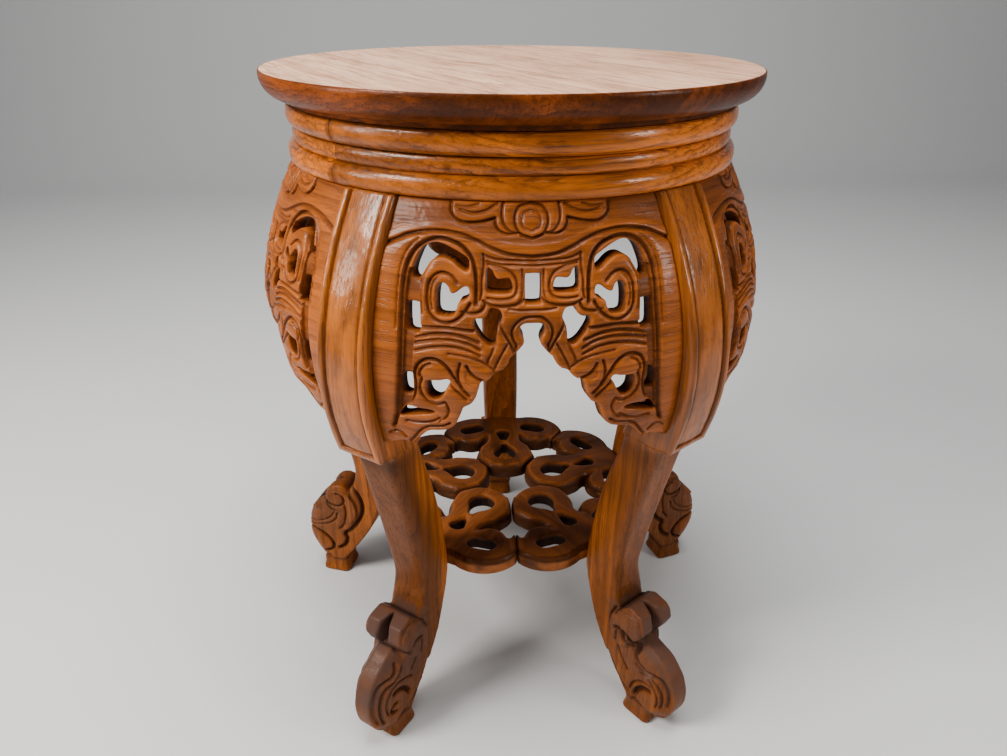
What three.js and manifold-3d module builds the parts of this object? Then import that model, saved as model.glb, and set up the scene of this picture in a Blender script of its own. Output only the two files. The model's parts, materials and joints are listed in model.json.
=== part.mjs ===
// Carved hardwood plant stand: a round top on a beaded waist ring, five cabriole legs with scroll
// feet, five pierced barrel-shaped aprons and an openwork shelf of five cloud-shaped petals.
// Millimetres, +Z up. The floor is z = 0. Every piece is made about the stand's own upright axis.
import * as THREE from 'three';
import { mergeVertices } from 'three/addons/utils/BufferGeometryUtils.js';
import Module from 'manifold-3d';

const wasm = await Module();
wasm.setup();

// Driving dimensions: the whole stand
const legCount = 5;
const overallHeight = 457.5;
const topRadius = 163;
const topThickness = 20;
const jointGap = 0.3;          // glue line, or play, between neighbouring pieces
const roundSteps = 60;         // facets round a full turn of the top and waist
const barrelTurnSteps = 40;    // and of the barrel that the aprons follow
const barrelSteps = 6;
const dowelSteps = 10;

// Top boards: the grain runs along the joints
const grainAngle = 25.5;       // direction across the boards, degrees from +X
const boardJoints = [-86, -14, 58];
const topListelRadius = 147;   // small straight step under the rounded edge
const topListelHeight = 3.2;
const topArrisHeight = 3;      // straight band under the sharp top edge
const boardDowelRadius = 4;
const boardDowelLength = 40;
const boardDowelInset = 66;    // from the ends of each joint line

// Waist ring: three curved pieces with three beads
const waistHeight = 35;
const waistInnerRadius = 119;
const upperBead = { reach: 149.1, root: 142, height: 13.2 };
const middleBead = { reach: 146, root: 142.5, height: 9.8 };
const lowerBead = { reach: 149.5, root: 144.2, height: 12 };
const waistPieceCount = 3;
const waistJointAngle = -137;  // the joint seen beside the front left leg, degrees
const waistDowelRadius = 3;
const waistDowelLength = 24;
const waistDowelRise = 19;       // above the underside of the waist
const topDowelRadius = 4;
const topDowelLength = 21;
const topDowelDepth = 10.5;    // how far each one stands into the waist
const topDowelSpread = 32;     // degrees either side of the middle of a waist piece

// Legs
const legWidth = 36.5;
const legDepth = 30;
const bellyRadius = 185.8;
const bellyHeight = 297;
const bellyFullness = 1.9;     // 2 is a parabola
const shoulderRadius = 150;
const hemRadius = 175;         // lower edge of the framed panel on the leg
const hemHeight = 241.6;
const hemOverhang = 9;
const shinWidth = 33;
const shinHeight = 190;
const shinFrontRadius = 152.5;
const shinBackRadius = 119;
const footWidth = 28;
const ankleFrontRadius = 138.5;
const ankleHeight = 126;
const ankleDepth = 31;
const toeReach = 189;
const toeHeight = 43;
const heelRadius = 127;        // back of the foot, where it starts to sweep out
const heelHeight = 57;
const padInner = 154;
const padOuter = 179;
const padHeight = 11;
const voluteRadius = 10.5;
const voluteCentre = [156, 89];
const voluteGroove = 8;        // depth of the V that splits the scroll in two
const voluteGrooveWidth = 8;
const legTenonWidth = 18;
const legTenonDepth = 14;
const legTenonHeight = 13;
const legTenonRadius = 132;    // centre of the tenon

// Aprons
const apronThickness = 12;
const apronSetbackTop = 2;
const apronSetbackBelly = 7.5;
const tongueThickness = 5;
const tongueDepth = 6;
const tongueFoot = 262;        // lowest point of the tongue

// Shelf
const shelfTop = 126.7;
const shelfThickness = 12.5;
const notchRadius = 96;        // where two petals part at the rim
const slotRadius = 88.5;
const slotLength = 22;
const slotWidth = 11;
const slotTurn = 18.7;         // degrees either side of the leg
const bandInnerRadius = 77;    // inner edge of the straps that carry the slots
const neckWidth = 28;
const loopCentre = 41;
const loopReach = 23;
const loopWidth = 49;
const shelfTenonWidth = 14;
const shelfTenonThickness = 7;
const shelfTenonLength = 12;
const petalDowelRadius = 2.5;
const petalDowelLength = 22;
const petalDowelRadial = 87;

// Worked out from the sizes above
const waistTop = overallHeight - topThickness;
const waistBottom = waistTop - waistHeight;
const shoulderHeight = waistBottom - jointGap;
const legStep = 360 / legCount;
const firstLegAngle = -90 - legStep / 2;
const beyond = 2 * overallHeight;
const apronReach = bellyRadius - apronSetbackBelly;
// The back toe and the front apron reach furthest, and the origin lies midway between them
const axisShift = (toeReach - apronReach) / 2;

const rad = THREE.MathUtils.degToRad;

// Solids: closed geometry that can be joined and cut
function solidOf(geometry) {
  const bare = geometry.clone();
  bare.deleteAttribute('normal');
  bare.deleteAttribute('uv');
  const merged = mergeVertices(bare, 1e-4);
  return new wasm.Manifold(new wasm.Mesh({
    numProp: 3,
    vertProperties: new Float32Array(merged.attributes.position.array),
    triVerts: new Uint32Array(merged.index.array),
  }));
}

function geometryOf(solid) {
  const mesh = solid.getMesh();
  const geometry = new THREE.BufferGeometry();
  geometry.setAttribute('position', new THREE.BufferAttribute(Float32Array.from(mesh.vertProperties), 3));
  geometry.setIndex(new THREE.BufferAttribute(Uint32Array.from(mesh.triVerts), 1));
  geometry.computeVertexNormals();
  return geometry;
}

// A closed outline of [radius, height] points, turned about Z
function turned(profile, steps = roundSteps) {
  const points = profile.map(([r, z]) => new THREE.Vector2(r, z));
  const ordered = THREE.ShapeUtils.area(points) > 0 ? points : points.reverse();
  ordered.push(ordered[0].clone());
  return solidOf(new THREE.LatheGeometry(ordered, steps).rotateX(Math.PI / 2));
}

function shapeOf(points) {
  return new THREE.Shape(points.map(([x, y]) => new THREE.Vector2(x, y)));
}

// A flat outline raised from one height to another
function raised(shape, from, to) {
  const options = { depth: to - from, bevelEnabled: false };
  return solidOf(new THREE.ExtrudeGeometry(shape, options).translate(0, 0, from));
}

// A box given by its lowest and highest corners
function block(low, high) {
  const size = high.map((h, i) => h - low[i]);
  const middle = high.map((h, i) => (h + low[i]) / 2);
  return solidOf(new THREE.BoxGeometry(...size).translate(...middle));
}

// A round peg between two points, with an allowance for its hole
function peg(from, to, radius, play = 0) {
  const start = new THREE.Vector3(...from);
  const end = new THREE.Vector3(...to);
  const along = end.clone().sub(start);
  const length = along.length() + 2 * play;
  const geometry = new THREE.CylinderGeometry(radius + play, radius + play, length, dowelSteps);
  const turn = new THREE.Quaternion().setFromUnitVectors(new THREE.Vector3(0, 1, 0), along.normalize());
  geometry.applyQuaternion(turn);
  geometry.translate(...start.add(end).multiplyScalar(0.5).toArray());
  return geometry;
}

function polar(radius, degrees, z) {
  return [radius * Math.cos(rad(degrees)), radius * Math.sin(rad(degrees)), z];
}

// Materials
function wood(colour, roughness) {
  return new THREE.MeshStandardMaterial({ color: colour, roughness, metalness: 0 });
}
const topWood = wood(0xb98c6f, 0.6);
const waistWood = wood(0x9a5a1f, 0.28);
const legWood = wood(0x94491c, 0.35);
const apronWood = wood(0x96501f, 0.4);
const shelfWood = wood(0x5e3219, 0.5);
const dowelWood = wood(0xc7a27a, 0.7);

const stand = new THREE.Group();
stand.position.y = -axisShift;

function addPiece(parent, name, geometry, material, degrees = 0) {
  const mesh = new THREE.Mesh(geometry, material);
  mesh.name = name;
  mesh.rotation.z = rad(degrees);
  parent.add(mesh);
}

// The barrel curve: the outer face of the legs from the shoulder down to the hem
function faceRadius(z) {
  const above = z >= bellyHeight;
  const span = above ? shoulderHeight - bellyHeight : bellyHeight - hemHeight;
  const drop = bellyRadius - (above ? shoulderRadius : hemRadius);
  return bellyRadius - drop * Math.abs((z - bellyHeight) / span) ** bellyFullness;
}

function apronRadius(z) {
  const share = Math.min(1, (shoulderHeight - z) / (shoulderHeight - bellyHeight));
  return faceRadius(z) - apronSetbackTop - (apronSetbackBelly - apronSetbackTop) * share;
}

// A shell that follows the apron face, from one depth behind it to another
function barrelShell(nearDepth, farDepth, bottom, top) {
  const rise = (top - bottom) / barrelSteps;
  const heights = Array.from({ length: barrelSteps + 1 }, (_, i) => bottom + rise * i);
  const front = heights.map((z) => [apronRadius(z) - nearDepth, z]);
  const back = heights.map((z) => [apronRadius(z) - farDepth, z]).reverse();
  return turned([...front, ...back], barrelTurnSteps);
}

// Top: four boards cut from one turned disc, with dowels across their joints
const ovoloBottom = waistTop + topListelHeight;
const ovoloTop = overallHeight - topArrisHeight;
const ovoloSteps = 4;
const ovolo = Array.from({ length: ovoloSteps + 1 }, (_, i) => {
  const turn = (Math.PI / 2) * i / ovoloSteps;
  return [
    topListelRadius + 2 + (topRadius - topListelRadius - 2) * Math.sin(turn),
    ovoloTop - (ovoloTop - ovoloBottom) * Math.cos(turn),
  ];
});
const topDisc = turned([
  [0, waistTop + jointGap], [topListelRadius, waistTop + jointGap], [topListelRadius, ovoloBottom],
  ...ovolo, [topRadius, overallHeight], [0, overallHeight],
]);
const topDowelAngles = [];
for (let i = 0; i < waistPieceCount; i += 1) {
  const middle = waistJointAngle + (i + 0.5) * 360 / waistPieceCount;
  topDowelAngles.push(middle - topDowelSpread, middle + topDowelSpread);
}
function topDowel(degrees, play) {
  const low = polar(legTenonRadius, degrees, waistTop - topDowelDepth);
  const high = polar(legTenonRadius, degrees, waistTop - topDowelDepth + topDowelLength);
  return peg(low, high, topDowelRadius, play);
}
const boardDowelZ = overallHeight - topThickness / 2 + topDowelRadius / 2;
function boardDowel(joint, side, play) {
  const along = side * (Math.sqrt(topRadius ** 2 - joint ** 2) - boardDowelInset);
  const half = boardDowelLength / 2;
  return peg([joint - half, along, boardDowelZ], [joint + half, along, boardDowelZ], boardDowelRadius, play);
}
const boards = new THREE.Group();
boards.rotation.z = rad(grainAngle);
stand.add(boards);
const boardEdges = [-beyond, ...boardJoints, beyond];
for (let i = 0; i < boardEdges.length - 1; i += 1) {
  const low = [boardEdges[i] + jointGap / 2, -beyond, 0];
  const high = [boardEdges[i + 1] - jointGap / 2, beyond, beyond];
  let board = topDisc.intersect(block(low, high));
  for (const degrees of topDowelAngles) {
    board = board.subtract(solidOf(topDowel(degrees - grainAngle, jointGap)));
  }
  for (const joint of boardJoints) {
    for (const side of [-1, 1]) board = board.subtract(solidOf(boardDowel(joint, side, jointGap)));
  }
  addPiece(boards, `top_board_${i + 1}`, geometryOf(board), topWood);
}
boardJoints.forEach((joint, i) => {
  addPiece(boards, `board_dowel_${2 * i + 1}`, boardDowel(joint, -1, 0), dowelWood);
  addPiece(boards, `board_dowel_${2 * i + 2}`, boardDowel(joint, 1, 0), dowelWood);
});
topDowelAngles.forEach((degrees, i) => {
  addPiece(stand, `top_dowel_${i + 1}`, topDowel(degrees, 0), dowelWood);
});

// Waist ring: turned with its three beads, mortised for the legs, then cut in three
function beadPoints(bead, bottom) {
  const steps = 4;
  return Array.from({ length: steps + 1 }, (_, i) => {
    const turn = Math.PI * i / steps;
    const height = bottom + bead.height * (1 - Math.cos(turn)) / 2;
    return [bead.root + (bead.reach - bead.root) * Math.sin(turn), height];
  });
}
const middleBeadFoot = waistBottom + lowerBead.height;
const upperBeadFoot = middleBeadFoot + middleBead.height;
const waistProfile = [
  [waistInnerRadius, waistBottom],
  ...beadPoints(lowerBead, waistBottom),
  ...beadPoints(middleBead, middleBeadFoot).slice(1),
  ...beadPoints(upperBead, upperBeadFoot).slice(1, -1),
  [upperBead.root, waistTop],
  [waistInnerRadius, waistTop],
];
const legAngles = Array.from({ length: legCount }, (_, i) => firstLegAngle + i * legStep);
function legTenon(play) {
  const across = legTenonDepth / 2 + play;
  const aside = legTenonWidth / 2 + play;
  const low = [legTenonRadius - across, -aside, shoulderHeight - play - 1];
  return block(low, [legTenonRadius + across, aside, shoulderHeight + legTenonHeight + play]);
}
function waistDowel(degrees, play) {
  const middle = new THREE.Vector3(...polar(legTenonRadius, degrees, waistBottom + waistDowelRise));
  const along = new THREE.Vector3(...polar(waistDowelLength / 2, degrees + 90, 0));
  const from = middle.clone().sub(along).toArray();
  return peg(from, middle.add(along).toArray(), waistDowelRadius, play);
}
let waistRing = turned(waistProfile);
for (const degrees of legAngles) {
  waistRing = waistRing.subtract(legTenon(jointGap).rotate([0, 0, degrees]));
}
for (const degrees of topDowelAngles) {
  waistRing = waistRing.subtract(solidOf(topDowel(degrees, jointGap)));
}
const waistStep = 360 / waistPieceCount;
const waistJoints = Array.from({ length: waistPieceCount }, (_, i) => waistJointAngle + i * waistStep);
for (const degrees of waistJoints) {
  waistRing = waistRing.subtract(solidOf(waistDowel(degrees, jointGap)));
}
// The part of the plan between two joints, kept half a gap clear of each
function sector(from, to, bottom, top) {
  const middle = rad((from + to) / 2);
  const half = rad((to - from) / 2);
  const apex = (jointGap / 2) / Math.sin(half);
  const corners = [[apex, 0]];
  const cornerSteps = 4;
  for (let i = 0; i <= cornerSteps; i += 1) {
    const turn = half * (2 * i / cornerSteps - 1);
    corners.push([apex + beyond * Math.cos(turn), beyond * Math.sin(turn)]);
  }
  const turnedCorners = corners.map(([x, y]) => [
    x * Math.cos(middle) - y * Math.sin(middle),
    x * Math.sin(middle) + y * Math.cos(middle),
  ]);
  return raised(shapeOf(turnedCorners), bottom, top);
}
waistJoints.forEach((degrees, i) => {
  const cutter = sector(degrees, degrees + waistStep, 0, overallHeight);
  addPiece(stand, `waist_piece_${i + 1}`, geometryOf(waistRing.intersect(cutter)), waistWood);
  addPiece(stand, `waist_dowel_${i + 1}`, waistDowel(degrees, 0), dowelWood);
});

// Leg, made pointing along +X: one side outline, then width by height, grooves and mortise
const ankleBackRadius = ankleFrontRadius - ankleDepth;
const legBack = new THREE.SplineCurve([
  new THREE.Vector2(padInner + 1, padHeight + 4),
  new THREE.Vector2(heelRadius, heelHeight),
  new THREE.Vector2(ankleBackRadius + 1, (ankleHeight + heelHeight) / 2 + 12),
  new THREE.Vector2(ankleBackRadius, ankleHeight + 5),
  new THREE.Vector2(shinBackRadius, shinHeight),
  new THREE.Vector2(hemRadius - legDepth - hemOverhang, hemHeight),
  new THREE.Vector2(bellyRadius - legDepth, bellyHeight + 10),
  new THREE.Vector2(shoulderRadius - legDepth, shoulderHeight),
]);
const legShin = new THREE.SplineCurve([
  new THREE.Vector2(hemRadius - hemOverhang, hemHeight + 1),
  new THREE.Vector2(shinFrontRadius, shinHeight),
  new THREE.Vector2(ankleFrontRadius, ankleHeight),
  new THREE.Vector2(voluteCentre[0] - voluteRadius - 4, voluteCentre[1] + 7),
]);
const toeFront = new THREE.SplineCurve([
  new THREE.Vector2(voluteCentre[0] + voluteRadius - 2, voluteCentre[1] - 9),
  new THREE.Vector2(toeReach - 7, toeHeight + 24),
  new THREE.Vector2(toeReach, toeHeight),
  new THREE.Vector2(toeReach - 8, toeHeight - 20),
  new THREE.Vector2(padOuter - 4, padHeight + 3),
]);
function facePoints(steps) {
  return Array.from({ length: steps + 1 }, (_, i) => {
    const z = shoulderHeight + (hemHeight - shoulderHeight) * i / steps;
    return [faceRadius(z), z];
  });
}
function volutePoints(steps) {
  return Array.from({ length: steps + 1 }, (_, i) => {
    const turn = rad(150 - 190 * i / steps);
    return [voluteCentre[0] + voluteRadius * Math.cos(turn), voluteCentre[1] + voluteRadius * Math.sin(turn)];
  });
}
const asPairs = (curve, steps) => curve.getPoints(steps).map((p) => [p.x, p.y]);
const legOutline = [
  [padInner, 0],
  [padInner, padHeight],
  ...asPairs(legBack, 16),
  ...facePoints(8),
  ...asPairs(legShin, 8),
  ...volutePoints(7),
  ...asPairs(toeFront, 9),
  [padOuter, padHeight],
  [padOuter, 0],
];
function legHalfWidth(z) {
  const stops = [[0, footWidth], [shinHeight, shinWidth], [hemHeight, shinWidth], [tongueFoot, legWidth]];
  const next = stops.findIndex(([height]) => z < height);
  if (next === -1) return legWidth / 2;
  const [lowZ, lowWidth] = stops[Math.max(0, next - 1)];
  const [highZ, highWidth] = stops[next];
  const share = highZ > lowZ ? (z - lowZ) / (highZ - lowZ) : 0;
  return (lowWidth + (highWidth - lowWidth) * share) / 2;
}
function legBlank() {
  const geometry = new THREE.ExtrudeGeometry(shapeOf(legOutline), { depth: 2, bevelEnabled: false });
  geometry.translate(0, 0, -1).rotateX(Math.PI / 2);
  const place = geometry.attributes.position;
  for (let i = 0; i < place.count; i += 1) {
    place.setY(i, place.getY(i) * legHalfWidth(place.getZ(i)));
  }
  return solidOf(geometry);
}
// The groove on both sides of the leg that takes the aprons' tongues
const tongueNear = (apronThickness - tongueThickness) / 2;
function tongueGroove() {
  const shell = barrelShell(tongueNear - jointGap, tongueNear + tongueThickness + jointGap,
    tongueFoot - jointGap, shoulderHeight + jointGap);
  const sideAt = legWidth / 2 - tongueDepth - jointGap;
  const right = block([0, sideAt, 0], [beyond, beyond, beyond]);
  const left = block([0, -beyond, 0], [beyond, -sideAt, beyond]);
  return shell.intersect(right.add(left));
}
// The petal sits against the back of the leg, so its reach follows the leg
function legBackRadius(from, to) {
  const near = asPairs(legBack, 80).filter(([, z]) => z >= from && z <= to);
  return Math.min(...near.map(([r]) => r));
}
const shelfBottom = shelfTop - shelfThickness;
const petalReach = legBackRadius(shelfBottom - 4, shelfTop + 4) - jointGap;
function shelfTenon(play) {
  const middle = (shelfTop + shelfBottom) / 2;
  const low = [petalReach - 8, -shelfTenonWidth / 2 - play, middle - shelfTenonThickness / 2 - play];
  const high = [petalReach + shelfTenonLength + play, shelfTenonWidth / 2 + play,
    middle + shelfTenonThickness / 2 + play];
  return block(low, high);
}
function voluteSplit() {
  const inner = voluteCentre[0] + voluteRadius - voluteGroove;
  const outer = inner + voluteGroove * 2;
  const half = voluteGrooveWidth;
  const wedge = shapeOf([[inner, 0], [outer, -half], [outer, half]]);
  return raised(wedge, voluteCentre[1] - voluteRadius + 2, voluteCentre[1] + voluteRadius + 4);
}
const leg = legBlank()
  .add(legTenon(0))
  .subtract(tongueGroove())
  .subtract(shelfTenon(jointGap))
  .subtract(voluteSplit());
const legGeometry = geometryOf(leg);
const legNames = ['front_left', 'front_right', 'right', 'back', 'left'];
legAngles.forEach((degrees, i) => addPiece(stand, `leg_${legNames[i]}`, legGeometry, legWood, degrees));

// Apron, made facing +X. Its outline and openings are drawn flat, as [along the face, height],
// and are then wrapped onto the barrel.
function wrapped(points) {
  const dense = [];
  const longest = 22;
  points.forEach((point, i) => {
    const next = points[(i + 1) % points.length];
    const length = Math.hypot(next[0] - point[0], next[1] - point[1]);
    const parts = Math.max(1, Math.ceil(length / longest));
    for (let j = 0; j < parts; j += 1) {
      dense.push([0, 1].map((axis) => point[axis] + (next[axis] - point[axis]) * j / parts));
    }
  });
  const inner = shoulderRadius * 0.6;
  const outer = bellyRadius * 1.35;
  const geometry = new THREE.ExtrudeGeometry(shapeOf(dense), { depth: 1, bevelEnabled: false });
  const place = geometry.attributes.position;
  for (let i = 0; i < place.count; i += 1) {
    const z = place.getY(i);
    const turn = place.getX(i) / apronRadius(z);
    const radius = inner + (outer - inner) * place.getZ(i);
    place.setXYZ(i, radius * Math.cos(turn), radius * Math.sin(turn), z);
  }
  return solidOf(geometry);
}
const mirrored = (points) => points.map(([x, z]) => [-x, z]).reverse();

// Right half of the scalloped lower edge, from the crown of the middle arch to the leg
const scallop = [
  [5.5, 342], [9, 337], [6.5, 330], [9.5, 325.5], [14, 320], [21, 315], [26, 310.5], [30.5, 307],
  [34.5, 297], [40, 293.5], [42.5, 286], [48, 279], [59, 273], [68, 265], [82, 261.5], [112, 250],
];
// Openings of the right half: side slots, the scroll's slot and eye, and the knots between
const halfOpenings = [
  [[34.5, 368.5], [34, 374], [44, 379.5], [54, 381], [62, 376], [68.5, 361.5], [57, 371.5], [47, 374]],
  [[34.5, 356], [36, 361], [43, 357], [48, 361], [53.5, 357], [53, 344.5], [44, 345]],
  [[63.5, 334], [63.5, 348.5], [71, 348.5], [71, 334]],
  [[17, 344], [19, 349], [26, 348.5], [32, 342], [23, 331.5]],
  [[10.5, 357], [11.5, 365], [25, 369], [25, 357]],
  [[69, 297], [69, 308.5], [76, 308.5], [76, 297]],
  [[47.5, 308.5], [60, 307.5], [60, 297], [52, 297]],
  [[57, 287.5], [70, 289.5], [79, 281], [66, 283.5]],
];
const middleOpening = [[-4.3, 352], [-4.3, 367], [4.3, 367], [4.3, 352]];
const openings = [middleOpening, ...halfOpenings, ...halfOpenings.map(mirrored)];

// The plan between two legs, with each side moved by an amount off the leg's side face
function betweenLegs(offset, bottom, top) {
  const half = rad(legStep / 2);
  const apex = (legWidth / 2 + offset) / Math.sin(half);
  const far = [beyond * Math.cos(half), beyond * Math.sin(half)];
  return raised(shapeOf([[apex, 0], [apex + far[0], -far[1]], [apex + far[0], far[1]]]), bottom, top);
}
const apronFoot = Math.min(...scallop.map(([, z]) => z));
const apronTop = shoulderHeight;
const belowScallop = [
  ...mirrored(scallop), ...scallop,
  [scallop[scallop.length - 1][0], apronFoot - 15], [-scallop[scallop.length - 1][0], apronFoot - 15],
];
const apronPanel = barrelShell(0, apronThickness, apronFoot - 5, apronTop)
  .intersect(betweenLegs(jointGap, 0, overallHeight))
  .subtract(wrapped(belowScallop));
const apronTongue = barrelShell(tongueNear, tongueNear + tongueThickness, tongueFoot, apronTop)
  .intersect(betweenLegs(-tongueDepth, 0, overallHeight))
  .subtract(betweenLegs(apronThickness, 0, overallHeight));
let apron = apronPanel.add(apronTongue);
for (const opening of openings) apron = apron.subtract(wrapped(opening));
const apronGeometry = geometryOf(apron);
const apronNames = ['front', 'front_right', 'back_right', 'back_left', 'front_left'];
legAngles.forEach((degrees, i) => {
  addPiece(stand, `apron_${apronNames[i]}`, apronGeometry, apronWood, degrees + legStep / 2);
});

// Shelf petal, made pointing along +X: an outline with a waist, a loop, and its openings
function arcPoints(cx, cy, rx, ry, from, to, steps) {
  return Array.from({ length: steps + 1 }, (_, i) => {
    const turn = rad(from + (to - from) * i / steps);
    return [cx + rx * Math.cos(turn), cy + ry * Math.sin(turn)];
  });
}
const halfStep = legStep / 2;
const onNotch = (radius) => polar(radius, halfStep, 0).slice(0, 2);
const petalSide = [
  ...arcPoints(0, 0, petalReach, petalReach, 0, 27, 6).slice(1),
  polar((petalReach + notchRadius) / 2 + 2.5, 32.5, 0).slice(0, 2),
  onNotch(notchRadius),
  onNotch(bandInnerRadius),
  polar(bandInnerRadius - 1, 23, 0).slice(0, 2),
  [bandInnerRadius - 4, neckWidth / 2],
  [bandInnerRadius - 14, neckWidth / 2],
  ...arcPoints(loopCentre, 0, loopReach, loopWidth / 2, 40, 160, 10),
];
const petalOutline = [
  [petalReach, 0], ...petalSide, [loopCentre - loopReach, 0],
  ...petalSide.map(([x, y]) => [x, -y]).reverse(),
];
function slotPoints(side) {
  const turn = side * slotTurn;
  const half = slotLength / 2 - slotWidth / 2;
  const ends = [...arcPoints(0, half, slotWidth / 2, slotWidth / 2, 0, 180, 3),
    ...arcPoints(0, -half, slotWidth / 2, slotWidth / 2, 180, 360, 3)];
  return ends.map(([x, y]) => {
    const across = slotRadius + x;
    return [
      across * Math.cos(rad(turn)) - y * Math.sin(rad(turn)),
      across * Math.sin(rad(turn)) + y * Math.cos(rad(turn)),
    ];
  });
}
const heartOpening = [[66, 0], [71, 5], [77, 5], [80, 0], [77, -5], [71, -5]];
const loopOpening = [[56, 0], ...arcPoints(loopCentre + 3, 0, 8, 10, 60, 300, 6)];
const petalShape = shapeOf(petalOutline);
for (const hole of [slotPoints(1), slotPoints(-1), heartOpening, loopOpening]) {
  petalShape.holes.push(new THREE.Path(hole.map(([x, y]) => new THREE.Vector2(x, y))));
}
function petalDowel(degrees, play) {
  const z = (shelfTop + shelfBottom) / 2;
  const middle = new THREE.Vector3(...polar(petalDowelRadial, degrees, z));
  const along = new THREE.Vector3(...polar(petalDowelLength / 2, degrees + 90, 0));
  const from = middle.clone().sub(along).toArray();
  return peg(from, middle.add(along).toArray(), petalDowelRadius, play);
}
const petal = raised(petalShape, shelfBottom, shelfTop)
  .intersect(sector(-halfStep, halfStep, 0, overallHeight))
  .add(shelfTenon(0))
  .subtract(solidOf(petalDowel(halfStep, jointGap)))
  .subtract(solidOf(petalDowel(-halfStep, jointGap)));
const petalGeometry = geometryOf(petal);
legAngles.forEach((degrees, i) => {
  addPiece(stand, `shelf_petal_${legNames[i]}`, petalGeometry, shelfWood, degrees);
  addPiece(stand, `petal_dowel_${i + 1}`, petalDowel(0, 0), dowelWood, degrees + halfStep);
});

export default stand;
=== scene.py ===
"""Carved hardwood plant stand: turned top and waist, carved legs and aprons, openwork shelf."""
import json
import math

import bpy
import numpy as np
from mathutils import Matrix, Vector


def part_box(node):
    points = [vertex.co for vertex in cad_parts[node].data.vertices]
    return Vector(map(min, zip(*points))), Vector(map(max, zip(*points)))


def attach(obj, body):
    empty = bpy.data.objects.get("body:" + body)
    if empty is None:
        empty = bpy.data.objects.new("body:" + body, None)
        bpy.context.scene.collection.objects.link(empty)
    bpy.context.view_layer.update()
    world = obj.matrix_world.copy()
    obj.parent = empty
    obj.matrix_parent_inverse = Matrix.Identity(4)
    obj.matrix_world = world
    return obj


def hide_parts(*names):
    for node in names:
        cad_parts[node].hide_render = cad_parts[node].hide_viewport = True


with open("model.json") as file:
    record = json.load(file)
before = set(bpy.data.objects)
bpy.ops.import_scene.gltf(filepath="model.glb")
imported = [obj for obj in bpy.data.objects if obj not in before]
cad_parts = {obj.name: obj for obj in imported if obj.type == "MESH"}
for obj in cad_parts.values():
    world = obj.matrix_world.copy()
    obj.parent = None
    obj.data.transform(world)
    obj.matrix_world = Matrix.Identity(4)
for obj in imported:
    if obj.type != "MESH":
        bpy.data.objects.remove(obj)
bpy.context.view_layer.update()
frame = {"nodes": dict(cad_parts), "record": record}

bl_info = {
    "name": "Carved plant stand",
    "version": (1, 0, 0),
    "blender": (4, 5, 0),
    "location": "View3D > Sidebar > Plant stand",
    "description": "Builds a carved hardwood plant stand piece by piece",
    "category": "Add Mesh",
}

MM = 0.001
MOST_FACES = 175000
LEG_NAMES = ["front_left", "front_right", "right", "back", "left"]
APRON_NAMES = ["front", "front_right", "back_right", "back_left", "front_left"]
LEG_STEP = 360 / len(LEG_NAMES)
FIRST_LEG = -90 - LEG_STEP / 2
WAIST_COUNT = 3
BOARD_COUNT = 4
GLUE_GAP = 0.3
# For each kind of carved piece: where the first one stands in degrees, its noise seed, its share of
# the unevenness, the angle past which a crease stays sharp, and how much lighter each copy is
LEG_SET = {"turn": FIRST_LEG, "seed": 3, "unevenness": 0.35, "crease": 48,
           # The back leg's large lift is painted light
           "tones": [0.06, 0.0, 0.03, 0.4, 0.1]}
APRON_SET = {"turn": FIRST_LEG + LEG_STEP / 2, "seed": 11, "unevenness": 1.0, "crease": 50,
             # The front-left apron's large lift is painted light
             "tones": [0.0, 0.04, -0.03, 0.06, 0.3]}
PETAL_SET = {"turn": FIRST_LEG, "seed": 21, "unevenness": 0.5, "crease": 45,
             "tones": [0.05, -0.03, 0.02, -0.08, 0.0]}
# How far apart in the plank two copies of a piece are cut, in metres
PLANK_STEP = np.array([0.173, 0.311, 0.47])


# Places that the frame gives, in millimetres
def edge(node, corner, axis):
    """One side of a CAD node's box, in millimetres."""
    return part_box(node)[corner][axis] / MM


AXIS_Y = frame["record"]["mounts"][0]["pos_m"][1] / MM
TOP_Z = edge("top_board_1", 1, 2)
WAIST_TOP = edge("waist_piece_1", 1, 2)
WAIST_FOOT = edge("waist_piece_1", 0, 2)
SHOULDER_Z = edge("apron_front", 1, 2)
SHELF_TOP = edge("shelf_petal_back", 1, 2)
SHELF_FOOT = edge("shelf_petal_back", 0, 2)
TOP_RADIUS = edge("top_board_4", 1, 0)


# Curves and distances
def turned(points, degrees):
    """The points turned about the upright axis."""
    turn = math.radians(degrees)
    out = points.copy()
    out[:, 0] = points[:, 0] * math.cos(turn) - points[:, 1] * math.sin(turn)
    out[:, 1] = points[:, 0] * math.sin(turn) + points[:, 1] * math.cos(turn)
    return out


def smooth_path(points, closed=False, parts=6):
    """A curve through the points, with some steps between each two."""
    p = np.array(points, float)
    if closed:
        p = np.vstack([p[-1], p, p[0], p[1]])
    else:
        p = np.vstack([p[0], p, p[-1]])
    t = (np.arange(parts) / parts)[:, None]
    out = []
    for a, b, c, d in zip(p[:-3], p[1:-2], p[2:-1], p[3:]):
        rise = (c - a) / 2
        fall = (d - b) / 2
        out.append(b + rise * t + (3 * (c - b) - 2 * rise - fall) * t ** 2
                   + (2 * (b - c) + rise + fall) * t ** 3)
    if not closed:
        out.append(p[-2:-1])
    return np.vstack(out)


def arc_points(cx, cy, rx, ry, start, end, steps):
    """Points along a part of an ellipse, with its angles in degrees."""
    turn = np.radians(np.linspace(start, end, steps + 1))
    return np.stack([cx + rx * np.cos(turn), cy + ry * np.sin(turn)], 1)


def softmax(a, b, k):
    """The larger of two distances, with the crease rounded over k."""
    share = np.maximum(k - np.abs(a - b), 0) / np.maximum(k, 1e-6)
    return np.maximum(a, b) + share ** 2 * k / 4


def softmin(a, b, k):
    """The smaller of two distances, with the crease rounded over k."""
    return -softmax(-a, -b, k)


def ramp(x, low, high):
    """0 below low, 1 above high and smooth between them."""
    t = np.clip((x - low) / (high - low), 0, 1)
    return t * t * (3 - 2 * t)


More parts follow.
